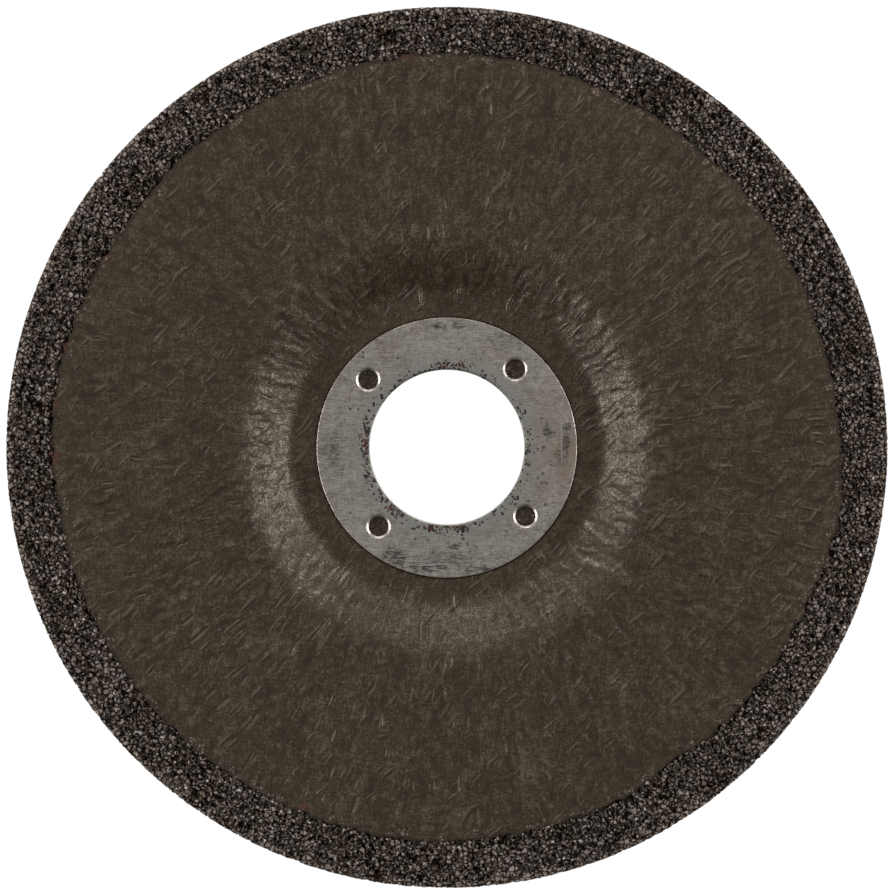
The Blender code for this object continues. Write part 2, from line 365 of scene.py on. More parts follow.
def grain_relief(points, size, depth, openness):
    """How far the pressed grain lies below its mould, and each grain's own shade.

    Where openness is 1 many grains have sunk or fallen out. Where it is 0 resin has closed over them.
    """
    uneven = np.stack([soft_noise(points / (0.6 * size), 31 + axis) for axis in range(3)], axis=-1)
    inside, border, cell = grains_at(points / size + 0.30 * uneven, 3)
    sunk = scatter(cell, 11)
    tilt = np.stack([scatter(cell, 21 + axis) - 0.5 for axis in range(3)], axis=-1)
    drop = depth * ease(0.88 - 0.32 * openness, 1.20 - 0.12 * openness, sunk)
    crevice = depth * (0.12 + 0.60 * openness) * (1 - ease(0.0, 0.24, border + 0.05 * uneven[:, 0]))
    slope = size * 1.2 * np.sum(inside * tilt, axis=-1) * (0.3 + 0.7 * openness)
    _, small_border, small_cell = grains_at(points / (0.52 * size) + 7.3, 5)
    small_sunk = ease(0.66, 0.86, scatter(small_cell, 12))
    chipped = depth * 0.62 * openness * small_sunk * ease(0.0, 0.2, small_border)
    lumps = 0.10 * depth * soft_noise(points / (0.4 * size), 51)
    below = np.maximum(drop + crevice - slope - lumps - 0.12 * depth, 0.0) + chipped
    skin_depth = 0.05 * depth * (1 + soft_noise(points / (0.5 * size), 52))
    return np.minimum(below + skin_depth, 1.15 * depth), scatter(cell, 77)


def rounded_line(corners):
    """A dense line through (radius, height, rounding) corners, with an arc at each rounded one."""
    spots = [Vector(corner[:2]) for corner in corners]
    line = [spots[0]]
    for i in range(1, len(corners) - 1):
        rounding = corners[i][2]
        if not rounding:
            line.append(spots[i])
            continue
        back, ahead = spots[i - 1] - spots[i], spots[i + 1] - spots[i]
        half_turn = (np.pi - back.angle(ahead)) / 2
        tangent = min(rounding * np.tan(half_turn), min(back.length, ahead.length) / 2)
        start = spots[i] + back.normalized() * tangent
        end = spots[i] + ahead.normalized() * tangent
        for step in range(13):
            t = step / 12
            bulge = 1 / np.cos(half_turn)
            weight = (1 - t) ** 2, 2 * t * (1 - t) / bulge, t * t
            line.append((start * weight[0] + spots[i] * weight[1] + end * weight[2]) / sum(weight))
    line.append(spots[-1])
    return np.array(line)


def spaced_line(line, spacing):
    """Points along a dense line, spaced as spacing(radius, height) says, and the side each one faces."""
    steps = np.diff(line, axis=0)
    length = np.concatenate([[0.0], np.cumsum(np.hypot(steps[:, 0], steps[:, 1]))])
    along = np.linspace(0.0, length[-1], int(length[-1] / 0.02) + 2)
    dense = np.stack([np.interp(along, length, line[:, k]) for k in (0, 1)], axis=-1)
    pace = np.gradient(along) / np.array([spacing(r, z) for r, z in dense])
    count = np.cumsum(pace) - pace[0]
    places = np.interp(np.linspace(0.0, count[-1], int(np.ceil(count[-1])) + 1), count, along)
    points = np.stack([np.interp(places, along, dense[:, k]) for k in (0, 1)], axis=-1)
    ahead = np.stack([np.interp(places + 0.05, along, dense[:, k]) for k in (0, 1)], axis=-1)
    behind = np.stack([np.interp(places - 0.05, along, dense[:, k]) for k in (0, 1)], axis=-1)
    course = ahead - behind
    course /= np.linalg.norm(course, axis=1)[:, None]
    return points, np.stack([course[:, 1], -course[:, 0]], axis=-1)


def ring_points(radius, height, azimuths):
    """Points of one ring about the disc's axis."""
    radius = np.broadcast_to(radius, azimuths.shape)
    height = np.broadcast_to(height, azimuths.shape)
    return np.stack([radius * np.cos(azimuths), radius * np.sin(azimuths), height], axis=-1)


def even_azimuths(count):
    """The angles of that many columns, evenly spaced round the axis."""
    return np.arange(count) * TURN / count


def edge_reach(azimuths):
    """How far the sheet's edge lies outside its circle."""
    reach = np.zeros_like(azimuths)
    for centre, height, half_width in EDGE_SWELLS:
        apart = (np.degrees(azimuths) - centre + 180) % 360 - 180
        reach += height * np.exp(-((apart / half_width) ** 2))
    around = ring_points(SHEET_RADIUS, 0.0, azimuths)
    ragged = 0.18 * soft_noise(around / 2.6, 61) + 0.22 * soft_noise(around / 0.9, 62)
    return reach + ragged + 0.20 * soft_noise(around / 0.45, 63)


class Skin:
    """Rings of points and the faces between them, with a place on the bake's map for each face corner."""

    def __init__(self):
        self.points = []
        self.total = 0
        self.faces = []
        self.maps = []

    def ring(self, points):
        """Adds the points of one ring and gives their numbers."""
        self.points.append(points)
        numbers = np.arange(self.total, self.total + len(points))
        self.total += len(points)
        return numbers

    def span(self, first, second, place):
        """Faces between two rings. place(row, column) gives the map, with rows and columns from 0 to 1."""
        many, few = len(first), len(second)
        if many < few:
            return self.span_turned(first, second, place)
        j = np.arange(few)
        if many == few:
            quads = np.stack([first, np.roll(first, -1), np.roll(second, -1), second], axis=-1)
            corner = np.stack([j, j + 1, j + 1, j], axis=-1) / few
            self.add(quads, np.broadcast_to([0, 0, 1, 1], quads.shape), corner, place)
            return
        a, b, c = first[2 * j], first[2 * j + 1], first[(2 * j + 2) % many]
        d, e = second, np.roll(second, -1)
        for corners, rows, columns in (
            ((a, b, d), (0, 0, 1), (j, j + 0.5, j)),
            ((b, c, e), (0, 0, 1), (j + 0.5, j + 1, j + 1)),
            ((b, e, d), (0, 1, 1), (j + 0.5, j + 1, j)),
        ):
            rows = np.broadcast_to(rows, (few, 3))
            self.add(np.stack(corners, -1), rows, np.stack(columns, -1) / few, place)

    def span_turned(self, first, second, place):
        """The same faces where the second ring has more points than the first."""
        before = len(self.faces)
        self.span(second, first, lambda row, column: place(1 - row, column))
        for i in range(before, len(self.faces)):
            self.faces[i] = self.faces[i][:, ::-1]
            self.maps[i] = self.maps[i][:, ::-1]

    def add(self, faces, rows, columns, place):
        """Adds faces with their places on the map."""
        self.faces.append(faces)
        self.maps.append(place(rows, columns))

    def mesh(self, name):
        """The finished mesh in metres, with its faces outward."""
        points = np.concatenate(self.points) * MM
        volume = 0.0
        for faces in self.faces:
            corners = points[faces]
            for k in range(1, faces.shape[1] - 1):
                volume += np.einsum("ij,ij->", corners[:, 0], np.cross(corners[:, k], corners[:, k + 1]))
        faces = [face for block in self.faces for face in block.tolist()]
        places = np.concatenate([block.reshape(-1, 2) for block in self.maps])
        mesh = bpy.data.meshes.new(name)
        mesh.from_pydata(points.tolist(), [], faces)
        layer = mesh.uv_layers.new(name="OFBake")
        layer.uv.foreach_set("vector", places.astype(np.float32).ravel())
        if volume < 0:
            mesh.flip_normals()
        mesh.shade_smooth()
        return mesh


def strip_place(low, high, rows, strips, band=(0.0, 1.0)):
    """Places on a map where a long ring is cut into strips that lie one above the other."""

    def at(row, column):
        row_place = low + (high - low) * row
        strip = np.clip(np.floor(column.min(axis=1, keepdims=True) * strips + 1e-6), 0, strips - 1)
        u = 0.01 + 0.98 * (column * strips - strip)
        v = band[0] + (band[1] - band[0]) * (strip + 0.04 + 0.92 * row_place / rows) / strips
        return np.stack([np.broadcast_to(u, v.shape), v], axis=-1)

    return at


def disc_place(inner, outer):
    """Places on a map where the piece is laid flat, seen along its axis."""

    def at(row, column):
        radius = MAP_REACH * (inner + (outer - inner) * row)
        angle = column * TURN
        return np.stack([MAP_MIDDLE + radius * np.cos(angle), MAP_MIDDLE + radius * np.sin(angle)], axis=-1)

    return at


def new_piece(name, mesh, material, node):
    """An object that rides on the disc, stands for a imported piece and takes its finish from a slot."""
    piece = bpy.data.objects.new(name, mesh)
    bpy.context.scene.collection.objects.link(piece)
    mesh.materials.append(material)
    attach(piece, "root")
    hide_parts(node)
    return piece


def store(mesh, name, values):
    """A number for each point of a mesh, which its material reads."""
    layer = mesh.attributes.new(name, "FLOAT", "POINT")
    layer.data.foreach_set("value", np.asarray(values, dtype=np.float32))


def patches_at(points, patches, seed):
    """1 inside the patches, with broken outlines, and 0 elsewhere."""
    total = np.zeros(len(points))
    wander = layered_noise(points[:, :2] / 0.8, seed, 2)
    for x, y, radius in patches:
        gap = np.hypot(points[:, 0] - x, points[:, 1] - y) / radius + 0.45 * wander
        total = np.maximum(total, 1 - ease(0.45, 1.05, gap))
    return total


def pale_marks_at(points):
    """1 in the middle of the sheet's hazy marks, fading outwards."""
    total = np.zeros(len(points))
    for x, y, direction, length, width in PALE_MARKS:
        course = np.radians(direction)
        right, up = points[:, 0] - x, points[:, 1] - y
        along = (right * np.cos(course) + up * np.sin(course)) / (length / 2)
        across = (up * np.cos(course) - right * np.sin(course)) / (width / 2)
        total = np.maximum(total, np.exp(-(along**2) - across**2))
    return total


def grit_attributes(mesh, points, depth, shade):
    """Stores what the grain's material reads: depth, shade, rust and bare brown resin."""
    store(mesh, "pit_depth", depth)
    store(mesh, "grain_shade", shade)
    face_side = ease(FACE_HEIGHT - 2.5, FACE_HEIGHT - 0.8, points[:, 2])
    store(mesh, "rust", patches_at(points, RUST_SPOTS, 71) * face_side)
    brown = layered_noise(points / 5.5, 73, 2)
    patches = patches_at(points, BROWN_PATCHES, 72) * face_side
    store(mesh, "bare_resin", np.clip(ease(0.55, 1.1, brown) * 0.7 + patches, 0, 1))


def node(tree, kind, inputs=None, **settings):
    """A new node with its settings, and its inputs set to values or linked from other nodes."""
    made = tree.nodes.new(kind)
    for name, value in settings.items():
        setattr(made, name, value)
    for key, value in (inputs or {}).items():
        if isinstance(value, bpy.types.NodeSocket):
            tree.links.new(value, made.inputs[key])
        else:
            made.inputs[key].default_value = value
    return made


def maths(tree, operation, first, second=None, third=None):
    """The result of one sum on numbers."""
    inputs = {0: first}
    if second is not None:
        inputs[1] = second
    if third is not None:
        inputs[2] = third
    return node(tree, "ShaderNodeMath", inputs, operation=operation).outputs[0]


def vector_maths(tree, operation, first, second=None):
    """The result of one sum on vectors."""
    inputs = {0: first}
    if second is not None:
        inputs[1] = second
    return node(tree, "ShaderNodeVectorMath", inputs, operation=operation).outputs[0]


def scaled(tree, vector, factor):
    """The vector made longer or shorter."""
    return node(tree, "ShaderNodeVectorMath", {0: vector, "Scale": factor}, operation="SCALE").outputs[0]


def length_of(tree, vector):
    """The length of a vector."""
    return node(tree, "ShaderNodeVectorMath", {0: vector}, operation="LENGTH").outputs["Value"]


def turned(tree, place, angle):
    """The place turned about the disc's axis."""
    inputs = {"Vector": place, "Angle": angle}
    return node(tree, "ShaderNodeVectorRotate", inputs, rotation_type="Z_AXIS").outputs[0]


def wandered(tree, place, scale, layers, reach):
    """The place shifted by soft noise, by up to half of reach each way."""
    noise = node(tree, "ShaderNodeTexNoise", {"Vector": place, "Scale": scale, "Detail": layers})
    shift = vector_maths(tree, "SUBTRACT", noise.outputs["Color"], (0.5, 0.5, 0.5))
    return vector_maths(tree, "ADD", place, scaled(tree, shift, reach))


def contrasted_noise(tree, place, scale, layers, contrast):
    """Noise about 0.5, with its difference from 0.5 strengthened and held from 0 to 1."""
    inputs = {"Vector": place, "Scale": scale, "Detail": layers, "Roughness": 0.6}
    noise = node(tree, "ShaderNodeTexNoise", inputs)
    lifted = maths(tree, "SUBTRACT", noise.outputs["Fac"], 0.5)
    value = maths(tree, "MULTIPLY_ADD", lifted, contrast, 0.5)
    return node(tree, "ShaderNodeClamp", {"Value": value}).outputs[0]


def with_values(tree, total, rows):
    """The total with each value's difference from 0.5 added by its weight."""
    for value, weight in rows:
        total = maths(tree, "MULTIPLY_ADD", maths(tree, "SUBTRACT", value, 0.5), weight, total)
    return total


def with_masks(tree, total, rows):
    """The total with each mask added by its weight."""
    for mask, weight in rows:
        total = maths(tree, "MULTIPLY_ADD", mask, weight, total)
    return total


def strongest_of(tree, masks):
    """The strongest of several masks."""
    strongest = masks[0]
    for mask in masks[1:]:
        strongest = maths(tree, "MAXIMUM", strongest, mask)
    return strongest


def raise_surface(tree, shader, height):
    """Fine relief from a height in millimetres."""
    bump = node(tree, "ShaderNodeBump", {"Height": height, "Strength": 1.0, "Distance": MM})
    tree.links.new(bump.outputs[0], shader.inputs["Normal"])


def spread(tree, value, low, high, to_low=0.0, to_high=1.0, smooth=False):
    """The value carried from one range to another, and held inside it."""
    kind = "SMOOTHSTEP" if smooth else "LINEAR"
    inputs = {"Value": value, "From Min": low, "From Max": high, "To Min": to_low, "To Max": to_high}
    return node(tree, "ShaderNodeMapRange", inputs, interpolation_type=kind, clamp=True).outputs[0]


def blended(tree, share, first, second, kind="MIX"):
    """A colour between two others."""
    made = node(tree, "ShaderNodeMix", data_type="RGBA", blend_type=kind)
    for index, value in ((0, share), (6, first), (7, second)):
        if isinstance(value, bpy.types.NodeSocket):
            tree.links.new(value, made.inputs[index])
        elif index == 0:
            made.inputs[0].default_value = value
        else:
            made.inputs[index].default_value = (*value[:3], 1.0)
    return made.outputs[2]


def new_group(name, inputs, outputs):
    """An empty node group with named sockets, and its input and output nodes."""
    tree = bpy.data.node_groups.new(name, "ShaderNodeTree")
    for label, kind, default in inputs:
        socket = tree.interface.new_socket(name=label, in_out="INPUT", socket_type=kind)
        if default is not None:
            socket.default_value = default
    for label, kind in outputs:
        tree.interface.new_socket(name=label, in_out="OUTPUT", socket_type=kind)
    return tree, tree.nodes.new("NodeGroupInput").outputs, tree.nodes.new("NodeGroupOutput").inputs


def place_group(tree, name, inputs):
    """A shared group placed with its own values. The group is built when it is first needed."""
    made = tree.nodes.new("ShaderNodeGroup")
    made.node_tree = bpy.data.node_groups.get(name) or SHARED_GROUPS[name]()
    for key, value in inputs.items():
        if isinstance(value, bpy.types.NodeSocket):
            tree.links.new(value, made.inputs[key])
        else:
            made.inputs[key].default_value = value
    return made.outputs


def mottle_group():
    """Irregular lumps of one size: a value about 0.5 for colour, roughness and bump."""
    tree, given, out = new_group(
        "Mottle",
        [
            ("Place", "NodeSocketVector", None),
            ("Size", "NodeSocketFloat", 1.0),
            ("Contrast", "NodeSocketFloat", 1.0),
            ("Layers", "NodeSocketFloat", 2.0),
        ],
        [("Value", "NodeSocketFloat")],
    )
    scale = maths(tree, "DIVIDE", 1.0, given["Size"])
    value = contrasted_noise(tree, given["Place"], scale, given["Layers"], given["Contrast"])
    tree.links.new(value, out["Value"])
    return tree


def specks_group():
    """Small scattered dots: a mask, and a number of each dot's own."""
    tree, given, out = new_group(
        "Specks",
        [
            ("Place", "NodeSocketVector", None),
            ("Spacing", "NodeSocketFloat", 1.0),
            ("Share", "NodeSocketFloat", 0.2),
            ("Radius", "NodeSocketFloat", 0.3),
        ],
        [("Mask", "NodeSocketFloat"), ("Own", "NodeSocketFloat")],
    )
    scale = maths(tree, "DIVIDE", 1.0, given["Spacing"])
    finer = maths(tree, "MULTIPLY", scale, 2.5)
    reach = maths(tree, "MULTIPLY", given["Spacing"], 0.5)
    moved = wandered(tree, given["Place"], finer, 1.0, reach)
    cells = node(tree, "ShaderNodeTexVoronoi", {"Vector": moved, "Scale": scale})
    own = node(tree, "ShaderNodeSeparateColor", {0: cells.outputs["Color"]})
    chosen = maths(tree, "LESS_THAN", own.outputs[0], given["Share"])
    size = maths(tree, "MULTIPLY", given["Radius"], maths(tree, "ADD", 0.4, own.outputs[1]))
    inside = maths(tree, "SUBTRACT", 1.0, maths(tree, "DIVIDE", cells.outputs["Distance"], size))
    soft = spread(tree, inside, 0.0, 0.5, smooth=True)
    tree.links.new(maths(tree, "MULTIPLY", soft, chosen), out["Mask"])
    tree.links.new(own.outputs[2], out["Own"])
    return tree


def chips_group(name="Chips", dimensions="3D"):
    """Chips with flat faces that lean at random: their own numbers, their gaps and their lift."""
    tree, given, out = new_group(
        name,
        [("Place", "NodeSocketVector", None), ("Size", "NodeSocketFloat", 1.0)],
        [
            ("Own", "NodeSocketFloat"),
            ("Shine", "NodeSocketFloat"),
            ("Gap", "NodeSocketFloat"),
            ("Lift", "NodeSocketFloat"),
        ],
    )
    scale = maths(tree, "DIVIDE", 1.0, given["Size"])
    spot = {"Vector": given["Place"], "Scale": scale}
    cells = node(tree, "ShaderNodeTexVoronoi", spot, voronoi_dimensions=dimensions)
    borders = node(
        tree, "ShaderNodeTexVoronoi", spot, voronoi_dimensions=dimensions, feature="DISTANCE_TO_EDGE"
    )
    own = node(tree, "ShaderNodeSeparateColor", {0: cells.outputs["Color"]})
    lean = vector_maths(tree, "SUBTRACT", cells.outputs["Color"], (0.5, 0.5, 0.5))
    inside = vector_maths(tree, "SUBTRACT", given["Place"], cells.outputs["Position"])
    lift = node(tree, "ShaderNodeVectorMath", {0: lean, 1: inside}, operation="DOT_PRODUCT")
    tree.links.new(own.outputs[0], out["Own"])
    tree.links.new(own.outputs[1], out["Shine"])
    tree.links.new(spread(tree, borders.outputs["Distance"], 0.05, 0.22, 1.0, 0.0), out["Gap"])
    tree.links.new(lift.outputs["Value"], out["Lift"])
    return tree


def flat_chips_group():
    """The same chips for a surface that lies nearly level, where their height doesn't matter."""
    return chips_group("Flat chips", "2D")


def dashes_in(tree, along, across, share):
    """Separate short strokes, with a painted highlight on one side and painted shade on the other: about 0,
    up to 1 either way.
    """

    def strokes(shift):
        flat = node(tree, "ShaderNodeCombineXYZ", {0: along, 1: maths(tree, "ADD", across, shift), 2: 0.0})
        cells = node(
            tree, "ShaderNodeTexVoronoi", {"Vector": flat.outputs[0], "Scale": 1.0}, voronoi_dimensions="2D"
        )
        own = node(tree, "ShaderNodeSeparateColor", {0: cells.outputs["Color"]})
        size = maths(tree, "MULTIPLY_ADD", own.outputs[1], 0.34, 0.20)
        inside = maths(tree, "SUBTRACT", 1.0, maths(tree, "DIVIDE", cells.outputs["Distance"], size))
        soft = spread(tree, inside, 0.0, 0.7, smooth=True)
        strong = maths(tree, "MULTIPLY_ADD", own.outputs[2], 0.8, 0.3)
        chosen = maths(tree, "LESS_THAN", own.outputs[0], share)
        return maths(tree, "MULTIPLY", maths(tree, "MULTIPLY", soft, strong), chosen)

    return maths(tree, "SUBTRACT", strokes(0.0), maths(tree, "MULTIPLY", strokes(0.24), 0.85))


def slanted_streaks_group():
    """Streaks or brush lines in one direction: a value about 0.5, and separate strokes."""
    tree, given, out = new_group(
        "Slanted streaks",
        [
            ("Place", "NodeSocketVector", None),
            ("Angle", "NodeSocketFloat", 0.0),
            ("Length", "NodeSocketFloat", 4.0),
            ("Width", "NodeSocketFloat", 0.5),
            ("Waviness", "NodeSocketFloat", 0.3),
            ("Contrast", "NodeSocketFloat", 1.0),
            ("Stroke share", "NodeSocketFloat", 0.3),
        ],
        [("Value", "NodeSocketFloat"), ("Strokes", "NodeSocketFloat")],
    )
    reach = maths(tree, "MULTIPLY", given["Waviness"], 4.0)
    moved = wandered(tree, given["Place"], 0.26, 0.0, reach)
    level = turned(tree, moved, maths(tree, "MULTIPLY", given["Angle"], -1.0))
    parts = node(tree, "ShaderNodeSeparateXYZ", {0: level})
    along = maths(tree, "DIVIDE", parts.outputs[0], given["Length"])
    across = maths(tree, "DIVIDE", parts.outputs[1], given["Width"])
    where = node(tree, "ShaderNodeCombineXYZ", {0: along, 1: across, 2: parts.outputs[2]}).outputs[0]
    long, wide = maths(tree, "MULTIPLY", along, 0.6), maths(tree, "MULTIPLY", across, 0.55)
    strokes = dashes_in(tree, long, wide, given["Stroke share"])
    tree.links.new(strokes, out["Strokes"])
    tree.links.new(contrasted_noise(tree, where, 1.0, 2.0, given["Contrast"]), out["Value"])
    return tree


def radial_streaks_group():
    """Streaks that run out from the disc's axis: a value about 0.5, and separate strokes."""
    tree, given, out = new_group(
        "Radial streaks",
        [
            ("Place", "NodeSocketVector", None),
            ("Length", "NodeSocketFloat", 4.0),
            ("Streaks around", "NodeSocketFloat", 90.0),
            ("Waviness", "NodeSocketFloat", 0.3),
            ("Contrast", "NodeSocketFloat", 1.0),
            ("Stroke share", "NodeSocketFloat", 0.3),
        ],
        [("Value", "NodeSocketFloat"), ("Strokes", "NodeSocketFloat")],
    )
    reach = maths(tree, "MULTIPLY", given["Waviness"], 4.0)
    moved = wandered(tree, given["Place"], 0.28, 0.0, reach)
    flat = vector_maths(tree, "MULTIPLY", moved, (1.0, 1.0, 0.0))
    radius = length_of(tree, flat)
    course = vector_maths(tree, "NORMALIZE", flat)
    around = scaled(tree, course, given["Streaks around"])
    out_along = maths(tree, "DIVIDE", radius, given["Length"])
    lift = node(tree, "ShaderNodeCombineXYZ", {0: 0.0, 1: 0.0, 2: out_along}).outputs[0]
    where = vector_maths(tree, "ADD", around, lift)
    parts = node(tree, "ShaderNodeSeparateXYZ", {0: flat})
    turn = maths(tree, "ARCTAN2", parts.outputs[1], parts.outputs[0])
    wide = maths(tree, "MULTIPLY", maths(tree, "MULTIPLY", turn, given["Streaks around"]), 0.55)
    strokes = dashes_in(tree, maths(tree, "MULTIPLY", out_along, 0.6), wide, given["Stroke share"])
    tree.links.new(strokes, out["Strokes"])
    tree.links.new(contrasted_noise(tree, where, 1.0, 2.0, given["Contrast"]), out["Value"])
    return tree


def blot_group():
    """A soft patch with a broken outline at one place on a face: a mask."""
    tree, given, out = new_group(
        "Blot",
        [
            ("Place", "NodeSocketVector", None),
            ("Centre", "NodeSocketVector", None),
            ("Reach", "NodeSocketVector", (1.0, 1.0, 1000.0)),
            ("Break", "NodeSocketFloat", 0.5),
            ("Grain", "NodeSocketFloat", 0.6),
        ],
        [("Mask", "NodeSocketFloat")],
    )
    apart = vector_maths(tree, "SUBTRACT", given["Place"], given["Centre"])
    far = length_of(tree, vector_maths(tree, "DIVIDE", apart, given["Reach"]))
    scale = maths(tree, "DIVIDE", 1.0, given["Grain"])
    inputs = {"Vector": given["Place"], "Scale": scale, "Detail": 3.0, "Roughness": 0.65}
    noise = node(tree, "ShaderNodeTexNoise", inputs)
    broken = maths(tree, "MULTIPLY", maths(tree, "SUBTRACT", noise.outputs["Fac"], 0.5), given["Break"])
    edge = maths(tree, "MULTIPLY_ADD", broken, 4.0, far)
    tree.links.new(spread(tree, edge, 0.35, 1.0, 1.0, 0.0, smooth=True), out["Mask"])
    return tree


SHARED_GROUPS = {
    "Mottle": mottle_group,
    "Specks": specks_group,
    "Chips": chips_group,
    "Flat chips": flat_chips_group,
    "Slanted streaks": slanted_streaks_group,
    "Radial streaks": radial_streaks_group,
    "Blot": blot_group,
}


def new_material(name):
    """A material with its shader, and the surface's place in millimetres."""
    material = bpy.data.materials.new(name)
    material.use_nodes = True
    tree = material.node_tree
    shader = tree.nodes["Principled BSDF"]
    coordinates = tree.nodes.new("ShaderNodeTexCoord")
    place = scaled(tree, coordinates.outputs["Object"], 1 / MM)
    return material, tree, shader, place


def mottle(tree, place, size, contrast, layers=2.0):
    """One placing of the shared mottling."""
    inputs = {"Place": place, "Size": size, "Contrast": contrast, "Layers": layers}
    return place_group(tree, "Mottle", inputs)["Value"]


def streaks_along(tree, place, angle, length, width, waviness, contrast):
    """One placing of the slanted streaks, without their separate strokes."""
    inputs = {
        "Place": place,
        "Angle": angle,
        "Length": length,
        "Width": width,
        "Waviness": waviness,
        "Contrast": contrast,
    }
    return place_group(tree, "Slanted streaks", inputs)["Value"]


def attribute(tree, name):
    """A number that the mesh stores for each point."""
    return node(tree, "ShaderNodeAttribute", attribute_name=name, attribute_type="GEOMETRY").outputs["Fac"]


def grit_material(settings):
    """Dark resin-bonded grain: lighter worn tops, pits and cracks blackened with painted shade, a few facets
    with partly painted glints, brown bare resin and a few rusty spots.
    """
    if "grit" in bpy.data.materials:
        return bpy.data.materials["grit"]
    material, tree, shader, place = new_material("grit")
    depth = attribute(tree, "pit_depth")
    shade = attribute(tree, "grain_shade")
    fine = mottle(tree, place, 0.22, 1.6)
    broad = mottle(tree, place, 3.2, 2.0)
    tops = blended(tree, shade, settings.grain_dark, settings.grain_light)
    tops = blended(tree, spread(tree, broad, 0.35, 0.75), tops, settings.grain_violet)
    bare_resin = maths(tree, "MULTIPLY", attribute(tree, "bare_resin"), 0.75)
    tops = blended(tree, bare_resin, tops, settings.resin_brown)
    rust = maths(tree, "MULTIPLY", attribute(tree, "rust"), 0.8)
    tops = blended(tree, rust, tops, settings.rust_red)
    tops = blended(tree, 1.0, tops, spread(tree, fine, 0.2, 0.8, 0.80, 1.20), "MULTIPLY")
    # Painted shade: the deeper a point lies in a pit, the nearer its colour goes to black.
    pit_shade = spread(tree, depth, 0.16, settings.pit_depth * 0.95, 0.0, 0.90)
    chips = place_group(tree, "Chips", {"Place": wandered(tree, place, 1.9, 1.0, 0.55), "Size": 0.74})
    elsewhere = vector_maths(tree, "ADD", place, (3.0, 8.0, 5.0))
    dust = place_group(tree, "Chips", {"Place": elsewhere, "Size": 0.27})
    tops = blended(tree, 1.0, tops, spread(tree, chips["Own"], 0.0, 1.0, 0.88, 1.14), "MULTIPLY")
    dusty = spread(tree, dust["Own"], 0.1, 0.9, 0.67, 1.22, smooth=True)
    tops = blended(tree, 1.0, tops, dusty, "MULTIPLY")
    # Painted shade: the cracks between chips are blackened in colour only, with no relief of their own.
    gap_shade = maths(tree, "MULTIPLY", chips["Gap"], spread(tree, chips["Shine"], 0.1, 0.7, 0.80, 1.0))
    pit_and_gap_shade = maths(tree, "MAXIMUM", pit_shade, gap_shade)
    out_of_pit = maths(tree, "SUBTRACT", 1.0, pit_shade)
    # A few facets, picked at random, turn pale: partly a brighter, more reflective crystal, partly a painted
    # glint.
    facet_and_glint = maths(tree, "MULTIPLY", spread(tree, dust["Shine"], 0.935, 0.945), out_of_pit)
    colour = blended(tree, facet_and_glint, tops, settings.facet_and_glint_grey)
    colour = blended(tree, pit_and_gap_shade, colour, settings.pit_black)
    tree.links.new(colour, shader.inputs["Base Color"])
    # Painted shade: the blackened pits and cracks are also made metallic, so that they reflect almost no
    # light.
    metallic = maths(tree, "MAXIMUM", maths(tree, "MULTIPLY", facet_and_glint, 0.4), pit_and_gap_shade)
    tree.links.new(metallic, shader.inputs["Metallic"])
    shader.inputs["Specular IOR Level"].default_value = 0.35
    shader.inputs["Specular Tint"].default_value = (1.0, 0.88, 0.78, 1.0)
    rough = spread(tree, chips["Shine"], 0.0, 1.0, 0.62, 0.34)
    rough = maths(tree, "ADD", rough, maths(tree, "MULTIPLY", maths(tree, "SUBTRACT", fine, 0.5), 0.2))
    rough = maths(tree, "MULTIPLY_ADD", pit_and_gap_shade, 0.45, rough)
    tree.links.new(rough, shader.inputs["Roughness"])
    height = maths(tree, "MULTIPLY_ADD", chips["Lift"], 1.3, maths(tree, "MULTIPLY", fine, 0.08))
    height = maths(tree, "MULTIPLY_ADD", dust["Lift"], 0.8, height)
    raise_surface(tree, shader, height)
    return material


